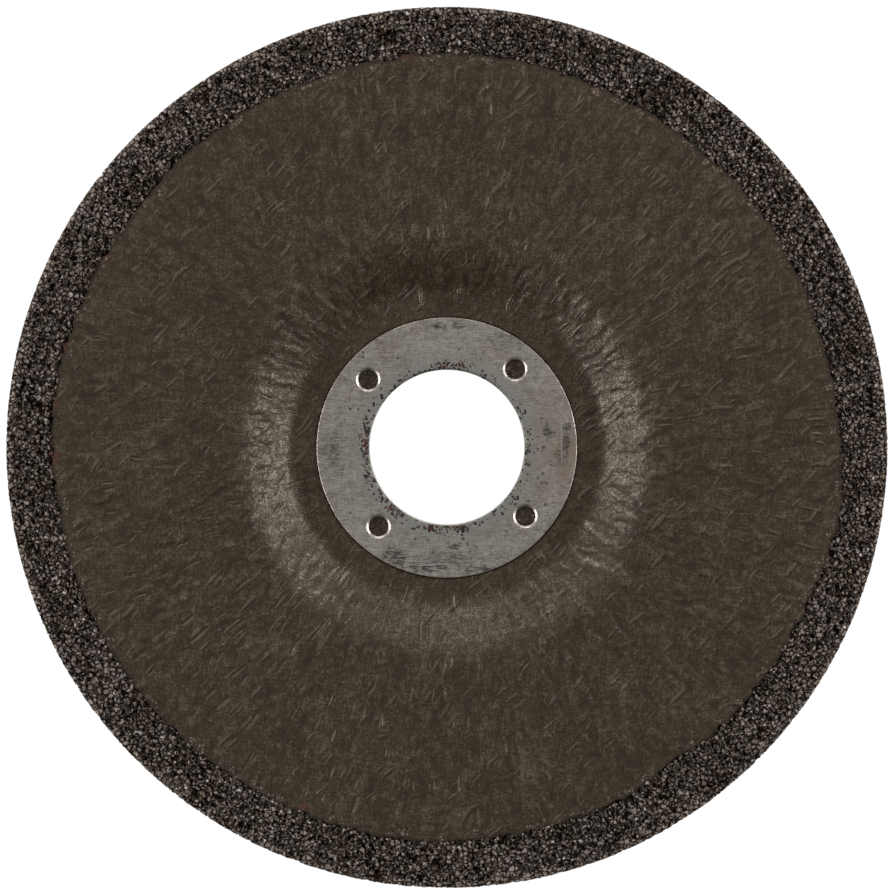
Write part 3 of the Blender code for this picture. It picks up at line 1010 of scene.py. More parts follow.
def cover_material(settings):
    """Dark olive brown fibre sheet, waxy on its folds, with fine streaks, pits and pale specks, painted shade
    in its creases and painted sheen on its shoulders.
    """
    material, tree, shader, place = new_material("cover")
    # Painted shade: darker in the sheet's creases and crinkle valleys, along its outer edge and on its hidden
    # underside
    crease_shade = attribute(tree, "crease_shade")
    # Rubbed spots, lighter on fold tops and on the shoulders: partly wear, partly painted sheen where the
    # shoulders face the soft boxes
    rub_and_sheen = attribute(tree, "rub_and_sheen")
    radial = place_group(
        tree,
        "Radial streaks",
        {
            "Place": place,
            "Length": 2.6,
            "Streaks around": 100.0,
            "Waviness": 0.3,
            "Contrast": 2.6,
            "Stroke share": 0.20,
        },
    )
    slanted = place_group(
        tree,
        "Slanted streaks",
        {
            "Place": place,
            "Angle": np.radians(47.0),
            "Length": 2.4,
            "Width": 0.46,
            "Waviness": 0.3,
            "Contrast": 2.6,
            "Stroke share": 0.22,
        },
    )
    warp, weft = (
        streaks_along(tree, place, np.radians(angle), 1.2, 0.24, 0.2, 2.6) for angle in (88.0, 2.0)
    )
    fine = mottle(tree, place, 0.25, 2.2)
    patchy = mottle(tree, place, 1.1, 2.6)
    broad = mottle(tree, place, 8.0, 1.5)
    pale = place_group(tree, "Specks", {"Place": place, "Spacing": 1.5, "Share": 0.26, "Radius": 0.17})
    elsewhere = vector_maths(tree, "ADD", place, (40.0, 9.0, 0.0))
    dark = place_group(tree, "Specks", {"Place": elsewhere, "Spacing": 1.7, "Share": 0.26, "Radius": 0.18})
    course = node(tree, "ShaderNodeSeparateXYZ", {0: vector_maths(tree, "NORMALIZE", place)})
    quarter = maths(tree, "MULTIPLY", course.outputs[0], course.outputs[1])
    outward = spread(tree, quarter, -0.45, 0.0, 0.25, 1.0)
    strokes = maths(tree, "MULTIPLY_ADD", radial["Strokes"], outward, slanted["Strokes"])
    strokes = maths(tree, "MULTIPLY", strokes, spread(tree, broad, 0.35, 0.6, 0.4, 1.0))
    # Thin wrinkle lines: pressed in by the bump and darkened with painted shade, more where the sheet shines
    # on its shoulders.
    off_middle = maths(tree, "ABSOLUTE", maths(tree, "SUBTRACT", patchy, 0.5))
    wrinkle = spread(tree, off_middle, 0.0, 0.09, 1.0, 0.0)
    wrinkle = maths(tree, "MULTIPLY", wrinkle, maths(tree, "MULTIPLY_ADD", rub_and_sheen, 0.8, 0.2))
    # The strokes' pale and dark sides go into the colour as painted highlight and painted shade, as well as
    # into the bump.
    tone = maths(tree, "MULTIPLY_ADD", strokes, 1.35, 0.5)
    values = (
        (fine, 1.05),
        (patchy, 0.40),
        (warp, 0.46),
        (weft, 0.38),
        (broad, 0.35),
        (radial["Value"], 0.12),
        (slanted["Value"], 0.12),
    )
    # Painted shade from the creases and wrinkle lines, painted sheen from the rubbed spots
    masks = (
        (pale["Mask"], 0.50),
        (dark["Mask"], -0.50),
        (wrinkle, -0.55),
        (rub_and_sheen, 0.32),
        (crease_shade, -0.75),
        (attribute(tree, "pale_mark"), 0.22),
    )
    tone = with_masks(tree, with_values(tree, tone, values), masks)
    colour = blended(tree, spread(tree, tone, 0.0, 0.5), settings.cover_dark_and_shade, settings.cover_middle)
    colour = blended(tree, spread(tree, tone, 0.5, 1.1), colour, settings.cover_pale_and_highlight)
    rust = maths(tree, "MULTIPLY", attribute(tree, "rust"), 0.6)
    colour = blended(tree, rust, colour, settings.rust_red)
    chips = place_group(tree, "Flat chips", {"Place": place, "Size": 0.50})
    through = with_values(tree, attribute(tree, "worn_edge"), ((chips["Own"], 0.55),))
    through = spread(tree, through, 0.48, 0.58)
    grain = blended(tree, chips["Shine"], settings.cover_dark_and_shade, settings.grain_through)
    # Painted shade in the cracks between the grains that show through
    grain = blended(tree, chips["Gap"], grain, settings.cover_dark_and_shade)
    colour = blended(tree, through, colour, grain)
    tree.links.new(colour, shader.inputs["Base Color"])
    shader.inputs["Specular IOR Level"].default_value = 0.8
    shader.inputs["Specular Tint"].default_value = (1.0, 0.86, 0.74, 1.0)
    rough = spread(tree, tone, 0.0, 1.0, settings.cover_roughness + 0.20, settings.cover_roughness - 0.10)
    tree.links.new(rough, shader.inputs["Roughness"])
    height = maths(tree, "MULTIPLY", patchy, maths(tree, "MULTIPLY_ADD", rub_and_sheen, 0.075, 0.020))
    height = with_masks(tree, height, ((fine, 0.023), (strokes, 0.072), (wrinkle, -0.032)))
    raise_surface(tree, shader, height)
    return material


def strongest_blot(tree, place, rows, broken, grain):
    """The strongest of several soft patches on the ring."""
    masks = []
    for x, y, wide, high, strength in rows:
        mask = place_group(
            tree,
            "Blot",
            {
                "Place": place,
                "Centre": (x, y, FLANGE_TOP),
                "Reach": (1.25 * wide, 1.25 * high, 4.0),
                "Break": broken,
                "Grain": grain,
            },
        )["Mask"]
        masks.append(maths(tree, "MULTIPLY", mask, strength))
    return strongest_of(tree, masks)


def scratches_at(tree, place, rows):
    """Fine straight scratches on the ring: a mask."""
    masks = []
    for x, y, direction, length, width, strength in rows:
        moved = vector_maths(tree, "SUBTRACT", place, (x, y, 0.0))
        level = turned(tree, moved, -np.radians(direction))
        far = length_of(tree, vector_maths(tree, "DIVIDE", level, (length / 2, width, 1000.0)))
        masks.append(maths(tree, "MULTIPLY", spread(tree, far, 0.5, 1.0, 1.0, 0.0), strength))
    return strongest_of(tree, masks)


def steel_material(settings):
    """Rolled steel strip with pits and rust round the bore, dark smudges, stains and a few scratches."""
    material, tree, shader, place = new_material("ring_steel")
    lines = streaks_along(tree, place, 0.0, 0.9, 0.11, 0.02, 2.2)
    cross = streaks_along(tree, place, np.radians(86.0), 0.9, 0.11, 0.05, 2.2)
    long_lines = streaks_along(tree, place, 0.02, 5.0, 0.45, 0.1, 1.4)
    fine = mottle(tree, place, 0.26, 2.6, 3.0)
    patchy = mottle(tree, place, 1.2, 2.2, 3.0)
    broad = mottle(tree, place, 4.0, 1.6, 3.0)
    values = (
        (lines, 0.95),
        (cross, 0.50),
        (long_lines, 0.40),
        (fine, 0.45),
        (patchy, 0.32),
        (broad, 0.45),
    )
    tone = with_values(tree, 0.5, values)
    colour = blended(tree, spread(tree, tone, 0.0, 1.0), settings.steel_dark, settings.steel_light)
    flat = vector_maths(tree, "MULTIPLY", place, (1.0, 1.0, 0.0))
    radius = length_of(tree, flat)
    cool = spread(tree, radius, BORE_RADIUS + 0.4, BORE_RADIUS + 3.4, 0.8, 0.0)
    cool = maths(tree, "MULTIPLY", cool, spread(tree, patchy, 0.2, 0.7, 0.3, 1.0))
    colour = blended(tree, cool, colour, settings.steel_cool)
    stain = strongest_blot(tree, place, RING_STAINS, 0.5, 1.4)
    stain = maths(tree, "MULTIPLY", stain, spread(tree, fine, 0.2, 0.8, 0.3, 0.8))
    colour = blended(tree, stain, colour, settings.stain_brown)
    smudge = strongest_blot(tree, place, RING_SMUDGES, 0.55, 1.0)
    broken = maths(tree, "MULTIPLY_ADD", lines, 0.75, maths(tree, "MULTIPLY", fine, 0.25))
    smudge = maths(tree, "MULTIPLY", smudge, spread(tree, broken, 0.36, 0.64, 1.5, 0.45))
    colour = blended(tree, smudge, colour, settings.smudge_dark)
    level = node(tree, "ShaderNodeSeparateXYZ", {0: place}).outputs[2]
    on_top = spread(tree, level, FLANGE_TOP - 2.2, FLANGE_TOP - 0.9, 0.12, 1.0)
    by_bore = spread(tree, radius, BORE_RADIUS + 0.3, BORE_RADIUS + 1.7, 1.0, 0.0)
    by_bore = maths(tree, "MULTIPLY", by_bore, on_top)
    # Darker in colour and rougher on the bend round the bore
    lip = spread(tree, radius, BORE_RADIUS + 0.25, BORE_RADIUS + 0.6, 1.0, 0.0)
    lip = maths(tree, "MULTIPLY", lip, on_top)
    colour = blended(tree, maths(tree, "MULTIPLY", lip, 0.6), colour, settings.smudge_dark)
    crowd = maths(tree, "MULTIPLY", strongest_blot(tree, place, RING_RUST, 0.3, 0.8), by_bore)
    share = maths(tree, "MULTIPLY_ADD", crowd, 1.6, maths(tree, "MULTIPLY", by_bore, 0.34))
    rust = place_group(tree, "Specks", {"Place": place, "Spacing": 0.36, "Share": share, "Radius": 0.95})
    few = maths(tree, "MULTIPLY_ADD", strongest_blot(tree, place, RING_SPECKLED, 0.4, 1.2), 0.5, 0.05)
    few = maths(tree, "MULTIPLY_ADD", by_bore, 0.25, few)
    elsewhere = vector_maths(tree, "ADD", place, (7.0, 3.0, 0.0))
    loose = place_group(tree, "Specks", {"Place": elsewhere, "Spacing": 0.62, "Share": few, "Radius": 0.42})
    crowded = spread(tree, crowd, 0.1, 0.6, 0.3, 1.0)
    reddish = maths(tree, "MULTIPLY", spread(tree, rust["Own"], 0.35, 1.0), crowded)
    rust_colour = blended(tree, reddish, settings.pit_black, settings.rust_red)
    colour = blended(tree, rust["Mask"], colour, rust_colour)
    colour = blended(tree, maths(tree, "MULTIPLY", loose["Mask"], 0.8), colour, settings.smudge_dark)
    scratch = scratches_at(tree, place, RING_SCRATCHES)
    colour = blended(tree, maths(tree, "MULTIPLY", scratch, 0.7), colour, settings.scratch_pale)
    tree.links.new(colour, shader.inputs["Base Color"])
    dulled = strongest_of(tree, (rust["Mask"], smudge, lip))
    metallic = maths(tree, "SUBTRACT", 1.0, maths(tree, "MULTIPLY", rust["Mask"], 0.85))
    tree.links.new(metallic, shader.inputs["Metallic"])
    rough = spread(tree, tone, 0.0, 1.0, settings.steel_roughness + 0.08, settings.steel_roughness - 0.06)
    rough = maths(tree, "MULTIPLY_ADD", dulled, 0.25, rough)
    tree.links.new(rough, shader.inputs["Roughness"])
    height = maths(tree, "MULTIPLY", tone, 0.008)
    height = with_masks(tree, height, ((scratch, -0.006), (rust["Mask"], -0.03)))
    raise_surface(tree, shader, height)
    return material


def grit_rows(skin, line, sides, azimuths, start_reach, settings, openness):
    """Rings of grain over a base line, each point sunk below the mould's face as the grain there is."""
    rings, depths, shades, all_points = [], [], [], []
    for (radius, height), (out, up) in zip(line, sides):
        radii = radius + start_reach(radius)
        base = ring_points(radii, height, azimuths)
        depth, shade = grain_relief(base, settings.grain_size, settings.pit_depth, openness(base))
        depth = depth + under_sheet(radii, height, azimuths)
        points = base - ring_points(out, up, azimuths) * depth[:, None]
        rings.append(skin.ring(points))
        depths.append(depth)
        shades.append(shade)
        all_points.append(points)
    return rings, depths, shades, all_points


def under_sheet(radii, height, azimuths):
    """How much deeper the grain lies where the sheet covers it."""
    if height < FACE_HEIGHT - 0.01:
        return 0.0
    edge = SHEET_RADIUS + edge_reach(azimuths)
    gap = 0.30 * np.maximum(soft_noise(ring_points(SHEET_RADIUS, 0.0, azimuths) / 1.7, 65) + 0.1, 0.0)
    return (SHEET_THICKNESS + 0.1) * (1 - ease(gap - 0.32, gap + 0.04, radii - edge))


def rim_openness(points):
    """Open grain, a little closer towards the outer edge, where resin filled the mould's corner."""
    radius = np.hypot(points[:, 0], points[:, 1])
    patch = 0.5 + 0.5 * layered_noise(points / 4.0, 81, 2)
    upper = 0.5 + 0.5 * points[:, 1] / np.maximum(radius, 1.0)
    closing = ease(DISC_RADIUS - 1.6, DISC_RADIUS - 0.3, radius) * (0.45 + 0.40 * upper)
    return np.clip(0.68 + 0.34 * patch - closing, 0.10, 1.0)


def back_openness(points):
    """Patches of nearly closed grain, pressed flat."""
    patch = 0.5 + 0.5 * layered_noise(points / 5.0, 82, 2)
    return np.clip(0.10 + 0.45 * patch, 0.0, 0.6)


def side_openness(points):
    """The edge is open grain that closes on the back, where it was pressed against a flat plate."""
    rim = rim_openness(points)
    back = back_openness(points)
    radius = np.hypot(points[:, 0], points[:, 1])
    share = ease(DISC_RADIUS - 2.4, DISC_RADIUS - 0.6, radius)
    share = share * ease(BACK_HEIGHT - 0.2, BACK_HEIGHT + 2.2, points[:, 2] + 1.0)
    return back + (rim - back) * share


def no_reach(radius):
    """For rings that follow their circle and not the sheet's edge."""
    return 0.0


def finish_grit(name, skin, depths, shades, points, settings, hidden=0):
    """The object made from rows of grain, with the numbers that its material reads."""
    mesh = skin.mesh(name)
    depth = np.concatenate(depths + [np.full(hidden, 0.5)])
    shade = np.concatenate(shades + [np.zeros(hidden)])
    grit_attributes(mesh, np.concatenate(points), depth, shade)
    new_piece(name, mesh, grit_material(settings), "abrasive_body")


def span_strips(skin, rings):
    """Faces from ring to ring and back to the first, mapped as strips."""
    rows = len(rings) - 1
    for i in range(rows):
        skin.span(rings[i], rings[i + 1], strip_place(i, i + 1, rows, 6, (0.0, 0.97)))
    skin.span(rings[-1], rings[0], strip_place(0, 1, 1, 1, (0.975, 0.995)))


def build_face_grit(settings):
    """The bare band of the working face, from under the sheet's edge to the rim's rounded corner."""
    azimuths = even_azimuths(settings.rim_columns)
    inner = SHEET_RADIUS - 0.5
    corner = [
        (inner, FACE_HEIGHT, 0),
        (DISC_RADIUS, FACE_HEIGHT, CORNER_ROUNDING),
        (DISC_RADIUS, FACE_HEIGHT - CORNER_ROUNDING, 0),
    ]
    line, sides = spaced_line(rounded_line(corner), lambda r, z: FACE_SPACING)
    sides = -sides
    reach = edge_reach(azimuths)

    def follow_edge(radius):
        return reach * (1 - ease(0.0, 1.0, (radius - inner) / (DISC_RADIUS - 1.2 - inner)))

    skin = Skin()
    rings, *rows = grit_rows(skin, line, sides, azimuths, follow_edge, settings, rim_openness)
    span_strips(skin, rings)
    finish_grit("grit_face", skin, *rows, settings)


def build_side_grit(settings):
    """The outer edge of the wheel and the outer part of its back."""
    azimuths = even_azimuths(settings.rim_columns)
    corner = [
        (DISC_RADIUS, FACE_HEIGHT - CORNER_ROUNDING, 0),
        (DISC_RADIUS, BACK_HEIGHT, 0.6),
        (DISC_RADIUS - BACK_EDGE_WIDTH, BACK_HEIGHT, 0),
    ]
    line, sides = spaced_line(rounded_line(corner), lambda r, z: EDGE_SPACING)
    sides = -sides
    skin = Skin()
    rings, *rows = grit_rows(skin, line, sides, azimuths, no_reach, settings, side_openness)
    # The back has half as many columns, so every second point of the last ring lies between its neighbours.
    last = rows[-1][-1]
    last[1::2] = (last[0::2] + np.roll(last[0::2], -1, axis=0)) / 2
    span_strips(skin, rings)
    finish_grit("grit_edge", skin, *rows, settings)


def build_back_grit(settings):
    """The dished back of the wheel, the hole for the ring and the bed that the sheet lies on."""
    count = settings.rim_columns // 2
    dish = [
        (DISC_RADIUS - BACK_EDGE_WIDTH, BACK_HEIGHT, 0),
        (BACK_HEAD_RADIUS, BACK_HEIGHT, 3.0),
        (BACK_FOOT_RADIUS, 0.0, 4.0),
        (WHEEL_BORE_RADIUS, 0.0, 0),
    ]
    line, sides = spaced_line(rounded_line(dish), lambda r, z: BACK_SPACING)
    sides = -sides
    split = int(np.argmax(line[:, 0] < BACK_SPLIT_RADIUS))
    wide, narrow = even_azimuths(count), even_azimuths(count // 2)
    skin = Skin()
    outer = grit_rows(skin, line[:split], sides[:split], wide, no_reach, settings, back_openness)
    inner = grit_rows(skin, line[split:], sides[split:], narrow, no_reach, settings, back_openness)
    rings = outer[0] + inner[0]
    radii = line[:, 0] / DISC_RADIUS
    for i in range(len(rings) - 1):
        skin.span(rings[i], rings[i + 1], disc_place(radii[i], radii[i + 1]))
    hidden = [
        (WHEEL_BORE_RADIUS, 0.4, narrow),
        (WHEEL_BORE_RADIUS, BED_HEIGHT - SHEET_THICKNESS, narrow),
        (FLANGE_RADIUS + 0.6, BED_HEIGHT - SHEET_THICKNESS, narrow),
        (FLANGE_RADIUS + 0.9, FLOOR_HEIGHT - 0.62, narrow),
        (FOOT_RADIUS + 0.2, FLOOR_HEIGHT - 0.62, narrow),
        (HEAD_RADIUS + 0.2, FACE_HEIGHT - 0.75, narrow),
        (DISC_RADIUS - 8.0, FACE_HEIGHT - 0.75, wide),
    ]
    extra = [ring_points(*row) for row in hidden]
    before = rings[-1]
    for row, points in enumerate(extra):
        after = skin.ring(points)
        skin.span(before, after, disc_place(0.14 * row / 8, 0.14 * (row + 1) / 8))
        before = after
    skin.span(before, rings[0], disc_place(0.14 * 7 / 8, 0.14))
    spots = outer[3] + inner[3] + extra
    total = sum(len(points) for points in extra)
    finish_grit("grit_back", skin, outer[1] + inner[1], outer[2] + inner[2], spots, settings, total)


def fold_course(x, y):
    """The direction that folds take: outward from the axis, drawn towards the pull of the cloth."""
    azimuth = np.arctan2(y, x)
    pull = 0.6
    return 0.5 * np.arctan2(np.sin(2 * azimuth) + pull, np.cos(2 * azimuth))


def cover_folds(settings):
    """Every fold of the sheet: x, y, direction, length, width, height."""
    chance = np.random.default_rng(settings.fold_seed)
    folds = []
    for _ in range(settings.fold_count):
        radius = np.sqrt(chance.uniform(20.0**2, 55.0**2))
        azimuth = chance.uniform(0, TURN)
        x, y = radius * np.cos(azimuth), radius * np.sin(azimuth)
        course = fold_course(x, y) + chance.normal(0, 0.22)
        size = chance.uniform(0.4, 1.0) * settings.fold_height / MM
        sign = 1 if chance.uniform() < 0.6 else -1
        folds.append((x, y, course, chance.uniform(1.4, 4.6), chance.uniform(0.28, 0.50), sign * size))
    for _ in range(settings.fold_count // 14):
        radius = chance.normal(26.4, 2.3)
        azimuth = chance.uniform(0, TURN)
        x, y = radius * np.cos(azimuth), radius * np.sin(azimuth)
        course = fold_course(x, y) + chance.normal(0, 0.3)
        size = chance.uniform(0.3, 1.1) * settings.fold_height / MM * (0.2 + 0.8 * abs(np.cos(azimuth)))
        sign = 1 if chance.uniform() < 0.55 else -1
        folds.append((x, y, course, chance.uniform(1.4, 5.0), chance.uniform(0.26, 0.50), sign * size))
    for _ in range(settings.fold_count // 16):
        radius = chance.normal(28.4, 1.7)
        azimuth = chance.choice((0.0, np.pi)) + chance.normal(-0.1, 0.55)
        x, y = radius * np.cos(azimuth), radius * np.sin(azimuth)
        course = fold_course(x, y) + chance.normal(0, 0.3)
        size = chance.uniform(0.4, 1.3) * settings.fold_height / MM
        sign = 1 if chance.uniform() < 0.5 else -1
        folds.append((x, y, course, chance.uniform(2.0, 6.5), chance.uniform(0.45, 0.85), sign * size))
    for x, y, course, length, width, height in NAMED_FOLDS:
        gain = 1.25 if x > 0 else 0.72
        folds.append((x, y, np.radians(course), length, width, gain * height))
    return folds


class ReliefMap:
    """Heights on a square grid over the disc, in millimetres, and the painted shade of its narrow creases,
    which points of the sheet are read from.
    """

    def __init__(self, half_width, step):
        self.half_width = half_width
        self.step = step
        count = int(2 * half_width / step) + 1
        self.heights = np.zeros((count, count))
        self.crease_shades = np.zeros((count, count))

    def press(self, x, y, course, length, width, height):
        """One fold with a hollow along its lower side, or one crease. A narrow crease also gets painted
        shade.
        """
        reach_x = length / 2 * abs(np.cos(course)) + 4 * width
        reach_y = length / 2 * abs(np.sin(course)) + 4 * width
        low_x, high_x = (int((x + s * reach_x + self.half_width) / self.step) for s in (-1, 1))
        low_y, high_y = (int((y + s * reach_y + self.half_width) / self.step) for s in (-1, 1))
        low_x, low_y = max(low_x, 0), max(low_y, 0)
        high_x, high_y = min(high_x, self.heights.shape[1] - 1), min(high_y, self.heights.shape[0] - 1)
        if high_x <= low_x or high_y <= low_y:
            return
        across_x = np.arange(low_x, high_x) * self.step - self.half_width - x
        across_y = (np.arange(low_y, high_y) * self.step - self.half_width - y)[:, None]
        along = across_x * np.cos(course) + across_y * np.sin(course)
        across = across_y * np.cos(course) - across_x * np.sin(course)
        across = across + 0.25 * width * np.sin(along * 2.1 + x)
        taper = np.clip(1 - (2 * along / length) ** 2, 0, 1)
        ridge = np.exp(-((across / width) ** 2))
        hollow = np.exp(-(((across + 1.7 * width) / width) ** 2))
        window = self.heights[low_y:high_y, low_x:high_x]
        window += height * taper * (ridge - 0.55 * hollow)
        # Painted shade down in a narrow crease
        if height < 0 and width < 0.44:
            shade_window = self.crease_shades[low_y:high_y, low_x:high_x]
            np.maximum(shade_window, -height / 0.1 * taper * ridge, out=shade_window)

    def read(self, grid, x, y):
        """The grid's value at each point, smoothed between its squares."""
        column = np.clip((x + self.half_width) / self.step, 0, grid.shape[1] - 2)
        row = np.clip((y + self.half_width) / self.step, 0, grid.shape[0] - 2)
        c, r = column.astype(int), row.astype(int)
        u, v = column - c, row - r
        lower = grid[r, c] * (1 - u) + grid[r, c + 1] * u
        upper = grid[r + 1, c] * (1 - u) + grid[r + 1, c + 1] * u
        return lower * (1 - v) + upper * v


def cover_relief(relief, points):
    """How far the sheet's face lifts off its smooth form, with the painted shade of its creases, and its
    rubbed spots, which carry painted sheen.
    """
    x, y = points[:, 0], points[:, 1]
    flat = points[:, :2]
    radius = np.hypot(x, y)
    azimuth = np.arctan2(y, x)
    wandering = radius + 0.6 * soft_noise(flat / 2.6, 103)
    on_shoulder = ease(21.2, 24.6, wandering) * (1 - ease(28.0, 32.0, wandering))
    # Strongest on the left and right shoulders and weakest towards the top: it shapes the crinkles, and the
    # painted sheen and shade below.
    sides = np.abs(np.cos(azimuth)) ** np.where(x > 0, 1.5, np.where(y > 0, 5.0, 3.0))
    turned_up = np.clip(1 + np.sin(azimuth) / np.where(x > 0, 0.95, 0.70), 0, 1)
    sides = 0.15 + 0.85 * sides * (0.25 + 0.75 * ease(0, 1, turned_up))
    open_floor = ease(FLANGE_RADIUS, FLANGE_RADIUS + 1.0, radius)
    lumps = 0.030 * layered_noise(flat / 4.5, 91, 2) + 0.010 * soft_noise(flat / 0.9, 94)
    bent = flat + 0.5 * np.stack([soft_noise(flat / 1.6, 95), soft_noise(flat / 1.6, 96)], axis=-1)
    crinkle = np.abs(soft_noise(bent / 0.85, 97)) + 0.5 * np.abs(soft_noise(bent / 0.42, 100)) - 0.45
    crinkles = 0.065 * crinkle * on_shoulder * sides * ease(-0.3, 0.5, soft_noise(flat / 3.5, 98) + 0.2)
    calm = 1 - 0.5 * np.exp(-(((azimuth - np.radians(148)) / 0.36) ** 2))
    folds = calm * relief.read(relief.heights, x, y)
    crease_shades = relief.read(relief.crease_shades, x, y)
    swells = 0.06 * layered_noise(flat / 3.2, 102, 2) * on_shoulder * calm
    lift = lumps * (0.4 + 0.6 * open_floor) + folds * open_floor + crinkles + swells
    worn = 0.40 + 0.5 * layered_noise(flat / 1.3, 99, 2) + 0.5 * crinkle
    # Rubbed spots, partly wear and partly painted sheen on the shoulders that face the soft boxes
    rub_and_sheen = on_shoulder * (0.35 + 0.65 * sides) * worn
    rub_and_sheen = np.clip(rub_and_sheen + 0.9 * np.clip(folds / 0.09, 0, 1), 0, 1)
    # Painted shade in the creases and in the crinkles' valleys, stronger on the left and right shoulders
    crease_shade = np.clip(crease_shades + 1.1 * np.clip(-crinkle - 0.18, 0, 1) * on_shoulder * sides, 0, 1)
    return lift, crease_shade, rub_and_sheen


def sheet_line(seat):
    """The section of the sheet's face from the bore outwards, and the side that each point faces."""
    face = [
        (WHEEL_BORE_RADIUS + FIT_GAP, seat, 0),
        (FLANGE_RADIUS + 0.02, seat, 0.03),
        (FLANGE_RADIUS + 0.11, FLOOR_HEIGHT, 0.06),
        (FOOT_RADIUS, FLOOR_HEIGHT, 3.2),
        (HEAD_RADIUS, FACE_HEIGHT, 6.6),
        (SHEET_RADIUS, FACE_HEIGHT, 0),
    ]

    def spacing(radius, height):
        if radius < FLANGE_RADIUS - 0.3:
            return 1.6
        if radius < FLANGE_RADIUS + 0.9:
            return 0.14
        return 0.29 if radius < 32.0 else 0.46

    line, sides = spaced_line(rounded_line(face), spacing)
    line = np.insert(line, -1, (SHEET_RADIUS - 0.05, FACE_HEIGHT), axis=0)
    return line, np.insert(-sides, -1, (0.0, 1.0), axis=0)


def sheet_row(relief, radius, height, out, up, azimuths):
    """One ring of the sheet's face: its points, its painted crease shade, its rubbed spots with painted
    sheen, and where grain shows through.
    """
    reach = edge_reach(azimuths) * ease(SHEET_RADIUS - 4.0, SHEET_RADIUS, radius)
    base = ring_points(radius + reach, height, azimuths)
    lift, crease_shade, rub_and_sheen = cover_relief(relief, base)
    near_edge = ease(SHEET_RADIUS - 2.6, SHEET_RADIUS - 0.2, radius)
    grains_below = soft_noise(base / 0.62, 64)
    lift = lift - 0.06 * near_edge * (0.6 + grains_below)
    at_edge = ease(SHEET_RADIUS - 0.5, SHEET_RADIUS, radius)
    lift = lift - 0.04 * at_edge * (0.5 + soft_noise(base / 0.5, 66))
    worn_band = ease(SHEET_RADIUS - 1.9, SHEET_RADIUS - 0.4, radius)
    worn_edge = worn_band * (0.45 + 0.9 * soft_noise(base / 1.5, 67))
    under_flange = 1 - ease(FLANGE_RADIUS - 1.2, FLANGE_RADIUS - 0.2, radius)
    rim = ease(SHEET_RADIUS - 0.35, SHEET_RADIUS - 0.05, radius)
    # Painted shade over buried grain near the worn edge, and in a thin band along the sheet's outer edge
    crease_shade = np.clip(crease_shade + 0.5 * worn_edge * grains_below + 0.8 * rim, 0, 1)
    worn = np.clip(worn_edge, 0, 1) * (1 - rim) + 0.46 * under_flange
    points = base + ring_points(out, up, azimuths) * lift[:, None]
    return points, crease_shade, rub_and_sheen, worn


def build_cover(settings):
    """The cover sheet over the recess, the shoulder and the working face, with its ragged outer edge."""
    relief = ReliefMap(RELIEF_HALF_WIDTH, RELIEF_STEP)
    for fold in cover_folds(settings):
        relief.press(*fold)
    seat = FLANGE_TOP - STEEL_THICKNESS - FIT_GAP
    line, sides = sheet_line(seat)
    wide, narrow = even_azimuths(settings.sheet_columns), even_azimuths(settings.sheet_columns // 2)
    split = int(np.argmax(line[:, 0] > FLANGE_RADIUS + 0.9))
    rows = []
    for i, ((radius, height), (out, up)) in enumerate(zip(line, sides)):
        azimuths = narrow if i < split else wide
        rows.append(sheet_row(relief, radius, height, out, up, azimuths))
    skin = Skin()
    rings = [skin.ring(row[0]) for row in rows]
    radii = line[:, 0] / (SHEET_RADIUS + 1.5)
    for i in range(len(rings) - 1):
        skin.span(rings[i], rings[i + 1], disc_place(radii[i], radii[i + 1]))
    edge = SHEET_RADIUS + edge_reach(wide)
    below = [
        (edge + 0.02, FACE_HEIGHT - 0.28, wide),
        (edge - 0.25, FACE_HEIGHT - 0.42, wide),
        (SHEET_RADIUS - 3.0, FACE_HEIGHT - 0.42, narrow),
        (HEAD_RADIUS + 3.2, FACE_HEIGHT - 0.45, narrow),
        (HEAD_RADIUS + 0.2, FACE_HEIGHT - 0.85, narrow),
        (FOOT_RADIUS + 0.9, FLOOR_HEIGHT - 0.15, narrow),
        (FOOT_RADIUS - 0.6, FLOOR_HEIGHT - 0.40, narrow),
        (FLANGE_RADIUS + 0.8, FLOOR_HEIGHT - 0.40, narrow),
        (FLANGE_RADIUS + 0.5, seat - SHEET_THICKNESS, narrow),
        (WHEEL_BORE_RADIUS + FIT_GAP, seat - SHEET_THICKNESS, narrow),
    ]
    before = rings[-1]
    for row, (radius, height, azimuths) in enumerate(below):
        points = ring_points(radius, height, azimuths)
        after = skin.ring(points)
        if row < 2:
            place = disc_place(0.98 + 0.01 * row, 0.98 + 0.01 * (row + 1))
        else:
            place = disc_place(0.19 * (1 - row / 11), 0.19 * (1 - (row + 1) / 11))
        skin.span(before, after, place)
        before = after
        none = np.zeros(len(points))
        # The sheet's edge wall and underside are darkened with painted shade.
        rows.append((points, none + 0.9, none, none))
    skin.span(before, rings[0], disc_place(0.19 * (1 - 10 / 11), 0.0))
    mesh = skin.mesh("cover_face")
    points, crease_shades, rubs_and_sheen, worn = (np.concatenate(column) for column in zip(*rows))
    store(mesh, "crease_shade", crease_shades)
    store(mesh, "rub_and_sheen", rubs_and_sheen)
    store(mesh, "worn_edge", worn)
    store(mesh, "pale_mark", pale_marks_at(points))
    store(mesh, "rust", patches_at(points, RUST_SPOTS, 71))
    new_piece("cover_face", mesh, cover_material(settings), "cover_sheet")


